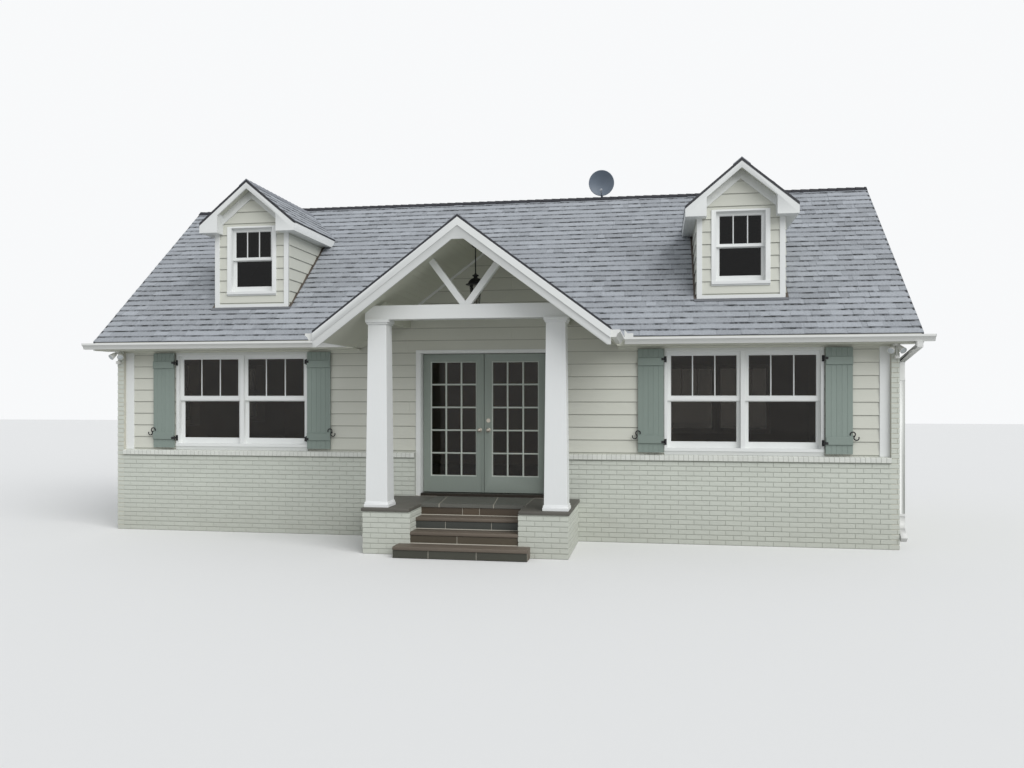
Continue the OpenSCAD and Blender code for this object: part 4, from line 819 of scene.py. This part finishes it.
for side in ("left", "right"):
    eased(side + "_turned_knob", ["door_knob_" + side], satin_nickel, "satin_nickel",
          body="door_leaf_" + side)

# Porch floor and steps: three bluestone flags whose pale joints run askew, thick stone treads with
# rounded nosings, and tiles of mixed dark stone on the risers, bedded on a pale line of mortar.
bluestone = aged("bluestone", (92, 92, 86), 0.5, 0.002, toned=0.15, patches=0.25, grain=0.22, scale=22)
tread_stone = aged("tread_stone", (98, 89, 79), 0.62, 0.003, patches=0.4, grain=0.40, scale=(14, 14, 40))
cap_stone = aged("cap_stone", (88, 86, 80), 0.6, 0.003, patches=0.3, grain=0.28, scale=(16, 16, 30))
pale_joint = aged("pale_joint", (168, 164, 152), 0.85, 0.002, grain=0.2, scale=90)
RISER, TREAD, NOSING, SLAB_T = 0.150, 0.270, 0.022, 0.045
PORCH_FLOOR = 0.600
PORCH_FRONT = 0.960
BOTTOM_STEP_WIDER = 0.150
FLAG_TONES = (0.3, 0.6, 0.45)
RISER_TILES = (((-0.40, 0.22), (62, 62, 54), (0.4, 0.6, 0.5)),
               ((-0.089,), (76, 69, 57), (0.4, 0.6)),
               ((-0.308, 0.311), (63, 65, 61), (0.7, 0.4, 0.5)),
               ((-0.139, 0.095), (76, 66, 54), (0.3, 1.0, 0.5)))
eased("pier_cap_slabs", ["pier_caps"], cap_stone, "dark_stone", 0.007, segments=3)
eased("stone_steps", ["bottom_step", "middle_step", "top_step"], tread_stone, "dark_stone", 0.009, segments=3)
coat(pale_joint, "porch_floor")


def between(edges, low, high, gap):
    """Outlines of the plates between slanted joints, each given by its x at the low and the high side."""
    return [[(a[0] + gap, low), (b[0] - gap, low), (b[1] - gap, high), (a[1] + gap, high)]
            for a, b in zip(edges, edges[1:])]


def toned_plate(outline, proud, tone, material, place):
    """A plate of stone with its own tone, in its place."""
    mesh = slab(outline, proud, 0.002, 0.0005)
    mesh.attributes.new("tone", "FLOAT", "FACE").data.foreach_set("value", [tone] * len(mesh.polygons))
    return placed(mesh, material, place)


half = PIER_HALF[0]
flag_joints = [(-half - 0.004, -half - 0.004), (-0.459, -0.560), (0.291, 0.190),
               (half + 0.004, half + 0.004)]
floor_top = face_of((PORCH_X, 0, PORCH_FLOOR), (1, 0, 0), (0, 1, 0))
nose = face_of((PORCH_X, -PORCH_FRONT, PORCH_FLOOR - SLAB_T / 2))
flags = []
for tone, outline in zip(FLAG_TONES, between(flag_joints, -PORCH_FRONT - 0.002, BASE_FACE_Y, 0.006)):
    front_edge = rectangle(outline[0][0], outline[1][0], -SLAB_T / 2 + 0.001, SLAB_T / 2 + 0.0015)
    flags += [toned_plate(outline, 0.004, tone, bluestone, floor_top),
              toned_plate(front_edge, 0.003, tone, bluestone, nose)]
piece("bluestone_floor", flags)
tiles = []
for step, (joints, colour, tones) in enumerate(RISER_TILES):
    tile_stone = aged("riser_tile_%d" % step, colour, 0.45, 0.001, toned=0.45, patches=0.3, grain=0.25,
                      scale=30)
    half = PIER_HALF[0] + (0 if step else BOTTOM_STEP_WIDER)
    edges = [(x, x) for x in (-half - 0.002,) + joints + (half + 0.002,)]
    top = RISER - SLAB_T - 0.002
    riser_face = face_of((PORCH_X, -(PORCH_FRONT + TREAD * (3 - step)) + NOSING, RISER * step))
    bedding = slab(rectangle(-half, half, 0.004, top), 0.0035, 0.001, 0.0005)
    tiles.append(placed(bedding, pale_joint, riser_face))
    for tone, outline in zip(tones, between(edges, 0.004, top, 0.0035)):
        tiles.append(toned_plate(outline, 0.006, tone, tile_stone, riser_face))
    if step:
        mortar = bar([(-0.0005, 0), (-0.017, 0), (-0.012, 0.006), (-0.0005, 0.011)], -half, half, 0)
        tiles.append(placed(mortar, pale_joint, riser_face))
piece("riser_tiles_and_bedding", tiles)

# Porch timber: square columns that taper upwards, a tie beam and two braces, all white-painted, under
# a boarded ceiling in the siding's colour, with a paler moulding where it meets the wall.
column_paint = aged("column_paint", (226, 228, 227), 0.4, 0.0006, patches=0.03, grain=0.03,
                    scale=(50, 50, 4), soil_top=1.0, soil_amount=0.12)
ceiling_paint = aged("ceiling_paint", (190, 192, 177), 0.5, 0.0006, toned=0.03, grain=0.05, scale=(60, 4, 60))
CEILING_HALF = 1.355
PORCH_OUT = 1.82
PORCH_COS, PORCH_SIN = 0.8, 0.6
eased("boxed_columns", ["porch_columns"], column_paint, "white_trim", 0.004)
eased("porch_tie_beam", ["tie_beam"], trim_along, "white_trim", 0.003, smooth=12)
eased("gable_struts", ["gable_braces"], trim_paint, "white_trim", 0.003, smooth=12)
eased("porch_bargeboards", ["porch_rake_boards"], trim_along, "white_trim", 0.003)
eased("porch_side_beams", ["side_beams"], ceiling_paint, "siding", 0.003, smooth=12)
ceiling_boards = []
wall_moulding = []
length = CEILING_HALF / PORCH_COS
board = (1.83, 0.0895)
moulding = [(0.065, -0.030), (length - 0.022, -0.030), (length, 0.0), (0.065, 0.0)]
for side in (-1, 1):
    foot = (PORCH_X + side * CEILING_HALF, 0, CEILING_PEAK - CEILING_HALF * PORCH_SLOPE)
    near, far = sorted((0.0, side * PORCH_OUT))
    ceiling_boards.append(lay("ceiling_boards", pillow(*board, 0.004, 0.0015, 0.001),
                              rectangle(near, far, 0.001, length - 0.004),
                              face_of(foot, (0, -side, 0), (-side * PORCH_COS, 0, PORCH_SIN)), ceiling_paint,
                              1, 20, 1.0, 0.0902, ((near + far) / 2, 0.045)))
    strip_outline = mirrored(moulding) if side > 0 else moulding
    wall_moulding.append(placed(prisms([strip_outline], -0.040, -0.012), trim_along,
                                face_of(foot, (PORCH_COS, 0, -side * PORCH_SIN),
                                        (side * PORCH_SIN, 0, PORCH_COS))))
piece("ceiling_boards", ceiling_boards + wall_moulding)
coat(ceiling_paint, "porch_ceiling")

# Roofs: laminated shingles in 143 mm courses over every slope. A thin strip runs through each
# course, thicker tabs of random width lie on it, and each course's upper part is darkened in dashes, partly
# the darker print of laminated shingles and partly painted shade under the course above.
SHINGLE_COURSE = 0.143
TAB_W, TAB_PITCH = 0.270, 0.272
EAVE_OUT = 0.345
EAVE_Z = ROOF_AT_WALL - EAVE_OUT * ROOF_SLOPE
RIDGE_Z = ROOF_AT_WALL + RIDGE_Y * ROOF_SLOPE
ROOF_END = 5.963
ROOF_COS = 1 / math.hypot(1, ROOF_SLOPE)
ROOF_SIN = ROOF_SLOPE * ROOF_COS


def shingle_material(name, eave_z, climb, along):
    """Granule-covered shingles, darkened in dashes under the courses above them: partly darker print, partly
    painted shade.
    """
    material = aged(name, (153, 157, 162), 0.92, 0.0022, toned=0.26, patches=0.18, grain=0.85, scale=48)
    tree = material.node_tree
    course = SHINGLE_COURSE * climb
    row = calc(tree, "FLOOR", courses_up(tree, eave_z, course))
    spot = add(tree, "ShaderNodeCombineXYZ", {"X": object_axes(tree)[along], "Y": row})
    spread = add(tree, "ShaderNodeVectorMath", {0: spot, 1: (5.2, 3.7, 1.0)}, operation="MULTIPLY")
    dash = add(tree, "ShaderNodeTexNoise", {"Vector": spread, "Scale": 1.0, "Detail": 3.0, "Roughness": 0.8})
    dash = add(tree, "ShaderNodeMapRange", {"Value": dash, "From Min": 0.43, "From Max": 0.60,
                                            "To Min": 0.28, "To Max": 0.93})
    lapped(material, eave_z, course, 0.72, 0.84, dash)
    return material


def shingle_slope(name, outline, place, material, openings=()):
    """One slope: thin strips first, then raised tabs over about half of them."""
    left, width, foot, top = extent(outline)
    rows = int(top / SHINGLE_COURSE) + 1
    strips = lay(name + "_strips", lap_board(1.0, SHINGLE_COURSE, 0.006, 0.001), outline, place, material,
                 int(width) + 3, rows, 1.0, SHINGLE_COURSE, (left - 1.0, 0), openings, Row_Shift=1.0)
    tabs = lay(name + "_tabs", lap_board(TAB_W, SHINGLE_COURSE, 0.0115, 0.0025), outline, place, material,
               int(width / TAB_PITCH) + 3, rows, TAB_PITCH, SHINGLE_COURSE, (left - TAB_PITCH, 0), openings,
               Row_Shift=1.0, Share=0.52, Least_Width=0.5)
    return [strips, tabs]


def gable_slopes(name, x, half, eave_z, ys, climb, material):
    """Both slopes of a roof whose ridge runs back: ys are its face, and where its foot and ridge end."""
    face_y, foot_y, ridge_y = ys
    cosine, sine = climb
    outline = [(face_y, 0), (foot_y, 0), (ridge_y, half / cosine), (face_y, half / cosine)]
    slopes = []
    for side, shape in ((-1, mirrored(outline)), (1, outline)):
        place = face_of((x + side * half, 0, eave_z), (0, side, 0), (-side * cosine, 0, sine))
        slopes += shingle_slope(name + "_%d" % side, shape, place, material)
    return slopes


def up_slope(y):
    """Distance up the main slope from its eave, for a depth behind the front wall."""
    return (y + EAVE_OUT) / ROOF_COS


VALLEY_Y, VALLEY_LAP = 1.365, 0.06
DORMER_EDGE = 0.777
DORMER_BACK = 1.889
DORMER_RIDGE_BACK = 2.666
main_shingles = shingle_material("main_shingles", EAVE_Z, ROOF_SIN, "X")
porch_reach = PORCH_HALF + VALLEY_LAP
footprints = [[(PORCH_X - porch_reach, -VALLEY_LAP), (PORCH_X + porch_reach, -VALLEY_LAP),
               (PORCH_X, up_slope(VALLEY_Y))]]
cheek_foot, eave_foot, eave_back = (up_slope(y) for y in (DORMER_Y, DORMER_BACK - 0.09, DORMER_BACK))
for x in window_xs:
    footprints.append([(x - DORMER_HALF, cheek_foot), (x + DORMER_HALF, cheek_foot),
                       (x + DORMER_HALF, eave_foot), (x + DORMER_EDGE, eave_back),
                       (x, up_slope(DORMER_RIDGE_BACK)), (x - DORMER_EDGE, eave_back),
                       (x - DORMER_HALF, eave_foot)])
full_slope = rectangle(-ROOF_END, ROOF_END, 0.0, up_slope(RIDGE_Y))
front_slope = face_of((0, -EAVE_OUT, EAVE_Z), (1, 0, 0), (0, ROOF_COS, ROOF_SIN))
back_slope = face_of((0, HOUSE_DEPTH + EAVE_OUT, EAVE_Z), (-1, 0, 0), (0, -ROOF_COS, ROOF_SIN))
piece("front_slope_shingles",
      shingle_slope("front_slope", full_slope, front_slope, main_shingles, footprints))
piece("back_slope_shingles", shingle_slope("back_slope", full_slope, back_slope, main_shingles))

PORCH_RIDGE = 4.3115
PORCH_FACE_Y = -1.860
porch_shingles = shingle_material("porch_shingles", EAVE_Z, PORCH_SIN, "Y")
piece("porch_slope_shingles", gable_slopes(
    "porch_slope", PORCH_X, PORCH_HALF, EAVE_Z, (PORCH_FACE_Y, -EAVE_OUT, VALLEY_Y), (PORCH_COS, PORCH_SIN),
    porch_shingles))

DORMER_EAVE = DORMER_RIDGE - DORMER_EDGE * ROOF_SLOPE
DORMER_FACE_Y = 0.140
dormer_shingles = shingle_material("dormer_shingles", DORMER_EAVE, ROOF_SIN, "Y")
dormer_slopes = []
for x in window_xs:
    dormer_slopes += gable_slopes("dormer_slope_%d" % x, x, DORMER_EDGE, DORMER_EAVE,
                                  (DORMER_FACE_Y, DORMER_BACK, DORMER_RIDGE_BACK), (ROOF_COS, ROOF_SIN),
                                  dormer_shingles)
piece("dormer_slope_shingles", dormer_slopes)


def recolour(material, mask, colour):
    """Gives a material another colour where the mask is 1."""
    feed(material, Base_Color=blend(material.node_tree, mask, colour_of(material), shade(*colour)))


def roof_core(name, axis, centre, slope, ridge, pair=False):
    """A roof slab below its shingles: dark felt at the top, and painted soffit boards below that."""
    material = aged(name, (200, 201, 188), 0.6, 0.001, grain=0.06, scale=(8, 60, 60))
    tree = material.node_tree
    axes = object_axes(tree)
    across = calc(tree, "ABSOLUTE", axes[axis]) if pair else axes[axis]
    across = calc(tree, "ABSOLUTE", calc(tree, "SUBTRACT", across, centre))
    level = calc(tree, "MULTIPLY_ADD", across, slope, axes["Z"])
    recolour(material, calc(tree, "GREATER_THAN", level, ridge - 0.012), (70, 71, 76))
    return material


coat(roof_core("main_roof_core", "Y", RIDGE_Y, ROOF_SLOPE, RIDGE_Z), "main_roof_front", "main_roof_back")
coat(roof_core("dormer_roof_core", "X", WINDOW_X, ROOF_SLOPE, DORMER_RIDGE, True), "dormer_roofs")
coat(roof_core("porch_roof_core", "X", PORCH_X, PORCH_SLOPE, PORCH_RIDGE), "porch_roof")

# Ridges: bent caps overlap along every ridge, near black on the main one and shingle grey on the
# dormers and the porch. Black metal drip edges close the rakes.
ridge_black = aged("ridge_black", (40, 41, 46), 0.9, 0.002, toned=0.25, patches=0.2, grain=0.35, scale=150)
cap_grey = aged("cap_grey", (140, 143, 149), 0.92, 0.002, toned=0.2, patches=0.12, grain=0.35, scale=150)
drip_black = aged("drip_black", (38, 39, 44), 0.5, 0.0004, patches=0.1, grain=0.08, scale=60)
CAP_PITCH = 0.145
CAP_BUTT, CAP_TIP = 0.011, 0.003
MAIN_CAP_UP, SMALL_CAP_UP = 0.0145, 0.011
DORMER_CAPS_END = 2.62
RAKE_X = 5.9655


def cap_unit(width, slope):
    """A cap shingle bent over a ridge, thicker at its exposed end."""
    drop = width * slope
    points = []
    for x, t in ((0.0004, CAP_BUTT), (CAP_PITCH - 0.0004, CAP_TIP)):
        points += [(x, -width, -drop - 0.002), (x, 0, -0.002), (x, width, -drop - 0.002),
                   (x, width, -drop + t), (x, 0, t), (x, -width, -drop + t)]
    faces = [(0, 1, 4, 5), (1, 2, 3, 4), (6, 7, 10, 11), (7, 8, 9, 10)]
    faces += [(i, (i + 1) % 6, 6 + (i + 1) % 6, 6 + i) for i in range(6)]
    return plain_mesh("cap", points, faces)


def ridge_caps(name, start, end, width, slope, material):
    """Caps from one end of a ridge to the other, trimmed square at both."""
    run = Vector(end) - Vector(start)
    return lay(name, cap_unit(width, slope), rectangle(0, run.length, -1, 1), face_of(start, run), material,
               int(run.length / CAP_PITCH) + 1, 1, CAP_PITCH, 1.0, (0, 0))


main_z = RIDGE_Z + MAIN_CAP_UP
porch_z = PORCH_RIDGE + SMALL_CAP_UP
dormer_z = DORMER_RIDGE + SMALL_CAP_UP
piece("main_ridge_caps", [ridge_caps("main_ridge", (-ROOF_END, RIDGE_Y, main_z), (ROOF_END, RIDGE_Y, main_z),
                                     0.072, ROOF_SLOPE, ridge_black)])
coat(ridge_black, "ridge_cap")
small_caps = [ridge_caps("porch_ridge", (PORCH_X, PORCH_FACE_Y, porch_z), (PORCH_X, VALLEY_Y - 0.02, porch_z),
                         0.13, PORCH_SLOPE, cap_grey)]
for x in window_xs:
    small_caps.append(ridge_caps("dormer_ridge", (x, DORMER_FACE_Y, dormer_z), (x, DORMER_CAPS_END, dormer_z),
                                 0.12, ROOF_SLOPE, cap_grey))
piece("porch_and_dormer_ridge_caps", small_caps)


def chevron(half, ridge, slope, above, below):
    """An upside-down V with plumb ends, from above a roof plane to below it."""
    foot = ridge - half * slope
    return [(-half, foot + above), (0, ridge + above), (half, foot + above), (half, foot - below),
            (0, ridge - below), (-half, foot - below)]


porch_drip = chevron(PORCH_HALF, PORCH_RIDGE, PORCH_SLOPE, 0.006, 0.0255)
dormer_drip = chevron(DORMER_EDGE, DORMER_RIDGE, ROOF_SLOPE, 0.006, 0.036)
main_drip = chevron(RIDGE_Y + EAVE_OUT, RIDGE_Z, ROOF_SLOPE, 0.004, 0.0255)
drips = [placed(prisms([porch_drip], PORCH_FACE_Y - 0.0028, -1.80), drip_black, face_of((PORCH_X, 0, 0)))]
for x in window_xs:
    drips.append(placed(prisms([dormer_drip], DORMER_FACE_Y - 0.005, 0.20), drip_black, face_of((x, 0, 0))))
for side in (1, -1):
    drips.append(placed(prisms([main_drip], 0.0, 0.03), drip_black,
                        face_of((side * RAKE_X, RIDGE_Y, 0), (0, side, 0))))
for x in window_xs:
    for side in (-1, 1):
        low_x, high_x = sorted((side * (DORMER_EDGE - 0.015), side * (DORMER_EDGE + 0.002)))
        eave_strip = rectangle(low_x, high_x, DORMER_EAVE - 0.0225, DORMER_EAVE + 0.003)
        drips.append(placed(prisms([eave_strip], DORMER_FACE_Y - 0.0016, DORMER_BACK - 0.02), drip_black,
                            face_of((x, 0, 0))))
piece("drip_edges", drips)

# Dormer trim and flashing: white boards round each dormer, a lead-coloured apron on the shingles
# below its face, and narrow dark steps of flashing where its cheeks meet the roof, their dark brown partly
# the metal's own colour and partly painted shade beside the cheeks.
flashing_grey = aged("flashing_grey", (112, 114, 118), 0.6, 0.001, patches=0.2, grain=0.15, scale=20,
                     Metallic=0.4)
# The step flashing's dark brown is partly its own colour and partly painted shade beside each cheek.
step_flashing_and_shade = aged("step_flashing_and_shade", (84, 77, 70), 0.6, 0.001, toned=0.25, patches=0.2, grain=0.2,
                      scale=30, Metallic=0.2)
eased("dormer_boards", ["dormer_trim"], trim_paint, "white_trim", 0.0025)
flashings = []
foot = up_slope(DORMER_Y - 0.025)
cheek_top = up_slope(DORMER_BACK - 0.05)
for x in window_xs:
    apron = rectangle(x - DORMER_HALF - 0.04, x + DORMER_HALF + 0.04, foot - 0.060, foot)
    flashings.append(placed(prisms([apron], -0.0155, 0.0), flashing_grey, front_slope))
    for side in (-1, 1):
        start_x = x + side * (DORMER_HALF + 0.022)
        flashings.append(lay("cheek_flashing", pillow(0.040, SHINGLE_COURSE - 0.004, 0.0145, 0.002, 0.0),
                             rectangle(start_x - 0.04, start_x + 0.04, foot, cheek_top), front_slope,
                             step_flashing_and_shade, 1, 14, 1.0, SHINGLE_COURSE, (start_x, foot + 0.07)))
piece("dormer_flashing", flashings)

# Gutters and downspouts: troughs folded from white metal along both eaves and both sides of the porch
# roof, with end caps, and straps across the long ones. Three pipes lead down from them.
gutter_white = aged("gutter_white", (222, 223, 220), 0.35, 0.0004, patches=0.05, grain=0.03,
                    scale=(8, 40, 40), soil_top=0.6, soil_amount=0.3)
GUTTER_W, GUTTER_H, GUTTER_END = 0.110, 0.090, 6.086
GUTTER_Z = EAVE_Z - 0.025
CAP_T = 0.003
STRAP_GAP = 0.6
eased("folded_gutters", ["gutters"], gutter_white, "gutter_metal")
eased("folded_downspouts", ["downspouts"], gutter_white, "gutter_metal", 0.004)
cap_outline = [(0, 0), (0, -GUTTER_H), (-GUTTER_W * 0.55, -GUTTER_H), (-GUTTER_W * 0.72, -GUTTER_H * 0.55),
               (-GUTTER_W, -GUTTER_H * 0.3), (-GUTTER_W, 0)]
front_y = -EAVE_OUT
back_y = HOUSE_DEPTH + EAVE_OUT
porch_end = PORCH_HALF + GUTTER_W
gutter_ends = []
for x, y, right, hand in (
        (-GUTTER_END, front_y, (0, 1, 0), 1), (GUTTER_END, front_y, (0, 1, 0), -1),
        (PORCH_X - porch_end, front_y, (0, 1, 0), -1), (PORCH_X + porch_end, front_y, (0, 1, 0), 1),
        (-GUTTER_END, back_y, (0, -1, 0), -1), (GUTTER_END, back_y, (0, -1, 0), 1),
        (PORCH_X - PORCH_HALF, -PORCH_OUT, (1, 0, 0), 1), (PORCH_X + PORCH_HALF, -PORCH_OUT, (-1, 0, 0), -1)):
    cap = prisms([cap_outline], *sorted((0, -hand * CAP_T)))
    gutter_ends.append(placed(cap, gutter_white, face_of((x, y, GUTTER_Z), right)))
front_gutter = face_of((0, front_y, GUTTER_Z))
back_gutter = face_of((0, back_y, GUTTER_Z), (-1, 0, 0))
for x0, x1, place in ((-5.9, -2.0, front_gutter), (2.2, 5.9, front_gutter), (-5.9, 5.9, back_gutter)):
    strap = prisms([rectangle(-0.012, 0.012, -0.008, -0.005)], -GUTTER_W + 0.002, -0.001)
    count = int((x1 - x0) / STRAP_GAP) + 1
    gutter_ends.append(lay("gutter_straps", strap, rectangle(x0 - 1, x1 + 1, -0.1, 0.1), place, gutter_white,
                           count, 1, (x1 - x0) / (count - 1), 1.0, (x0, 0)))
piece("gutter_end_caps_and_straps", gutter_ends)

# Fittings: a ribbed black lantern with a tapered glass and candles, twin floodlights with a
# sensor at each front corner, and a small dish on its mast.
candle_wax = aged("candle_wax", (226, 220, 200), 0.5, 0.0004, grain=0.06)
lamp_white = aged("lamp_white", (226, 226, 222), 0.4, 0.0003, patches=0.05, grain=0.03, scale=60)
lens_grey = aged("lens_grey", (196, 202, 204), 0.12, 0.0006, patches=0.1, grain=0.12, scale=120)
dish_paint = aged("dish_paint", (104, 114, 126), 0.45, 0.0004, patches=0.1, grain=0.06, scale=60)
LANTERN = (PORCH_X, -0.75, 3.2962)
DISH_FRONT_Y = 3.066


def turned(profile, at, material, sides=32):
    """A shape turned round an upright axis from (radius, height) points, closed at both ends."""
    points = [(r * math.cos(2 * math.pi * i / sides), r * math.sin(2 * math.pi * i / sides), z)
              for r, z in profile for i in range(sides)]
    rows = len(profile)
    faces = [tuple(range(sides)), tuple(range((rows - 1) * sides, rows * sides))]
    for r in range(rows - 1):
        low, high = r * sides, (r + 1) * sides
        faces += [(low + i, low + (i + 1) % sides, high + (i + 1) % sides, high + i) for i in range(sides)]
    mesh = plain_mesh("turned", points, faces)
    mesh.shade_smooth()
    mesh.set_sharp_from_angle(angle=math.radians(40))
    return placed(mesh, material, Matrix.Translation(at))


eased("ribbed_lantern", ["lantern"], black_iron, "black_iron")
lantern_glass = shader_material("lantern_glass", 0.06, Transmission_Weight=1.0, IOR=1.25)
lantern_tree = lantern_glass.node_tree
seeds = add(lantern_tree, "ShaderNodeTexVoronoi", {"Vector": object_point(lantern_tree), "Scale": 60.0})
seedy = add(lantern_tree, "ShaderNodeMapRange", {"Value": seeds, "To Min": 0.40, "To Max": 0.60})
feed(lantern_glass, Base_Color=add(lantern_tree, "ShaderNodeCombineColor", {0: seedy, 1: seedy, 2: seedy}))
piece("lantern_cylinder", [turned([(0.0415, 0.007), (0.0445, 0.007), (0.0735, 0.276), (0.0705, 0.276)],
                                  LANTERN, lantern_glass)])
candles = []
for k in range(3):
    angle = math.radians(90 + 120 * k)
    foot = (LANTERN[0] + 0.024 * math.cos(angle), LANTERN[1] + 0.024 * math.sin(angle), LANTERN[2] + 0.0045)
    candles.append(turned([(0.013, 0), (0.013, 0.008), (0.009, 0.01), (0.009, 0.085), (0.004, 0.09),
                           (0.009, 0.105), (0.0065, 0.12), (0.001, 0.132)], foot, candle_wax, 16))
piece("lantern_candles", candles)
eased("twin_floodlights", ["floodlights"], lamp_white, "lamp_white", 0.002)
lenses = []
for side in (-1, 1):
    base = Matrix.Translation((BRICK_FACE_X - 0.062, -0.150, SOFFIT_Z))
    for x, turn in ((-0.032, -30), (0.032, 24)):
        head = base @ Matrix.Translation((x, 0, -0.024)) @ Matrix.Rotation(math.radians(turn), 4, "Z")
        head = head @ Matrix.Rotation(math.radians(126), 4, "X")
        lens = turned([(0.001, 0.1345), (0.020, 0.133), (0.034, 0.130), (0.041, 0.1255), (0.041, 0.120),
                       (0.001, 0.120)], (0, 0, 0), lens_grey, 24)
        lens.transform(Matrix.Diagonal((side, 1, 1, 1)) @ head)
        if side < 0:
            lens.flip_normals()
        lenses.append(lens)
piece("floodlight_lenses", lenses)
dish_tree = dish_paint.node_tree
recolour(dish_paint, calc(dish_tree, "LESS_THAN", object_axes(dish_tree)["Y"], DISH_FRONT_Y), (166, 170, 176))
eased("pressed_dish", ["satellite_dish"], dish_paint, "dish_grey")

# Inside: plastered walls and board floors, which show through the glass and the open doors. The walls'
# cores are plaster towards the rooms, and have the wall's outer colour everywhere else.
ROOM_HALF = 5.6
wall_core = aged("wall_core", (196, 194, 180), 0.7, 0.001, grain=0.08, scale=30)
core_tree = wall_core.node_tree
core_axes = object_axes(core_tree)
from_middle = calc(core_tree, "ABSOLUTE", calc(core_tree, "SUBTRACT", core_axes["Y"], RIDGE_Y))
inside_x = calc(core_tree, "LESS_THAN", calc(core_tree, "ABSOLUTE", core_axes["X"]), ROOM_HALF)
inside_y = calc(core_tree, "LESS_THAN", from_middle, RIDGE_Y - 0.02)
recolour(wall_core, calc(core_tree, "MULTIPLY", inside_x, inside_y), (205, 200, 188))
coat(wall_core, "front_wall_left", "front_wall_right", "front_wall_over_door", "porch_gable_wall",
     "back_wall", "left_side_wall", "right_side_wall", "dormer_walls")
floor_wood = shader_material("floor_wood", 0.45)
planks = add(floor_wood.node_tree, "ShaderNodeTexBrick", {
    "Vector": object_point(floor_wood.node_tree), "Color1": shade(128, 94, 62), "Color2": shade(106, 76, 50),
    "Mortar": shade(52, 38, 26), "Scale": 1.0, "Brick Width": 1.6, "Row Height": 0.09, "Mortar Size": 0.002})
feed(floor_wood, Base_Color=planks)
coat(floor_wood, "ground_floor", "upper_floor")
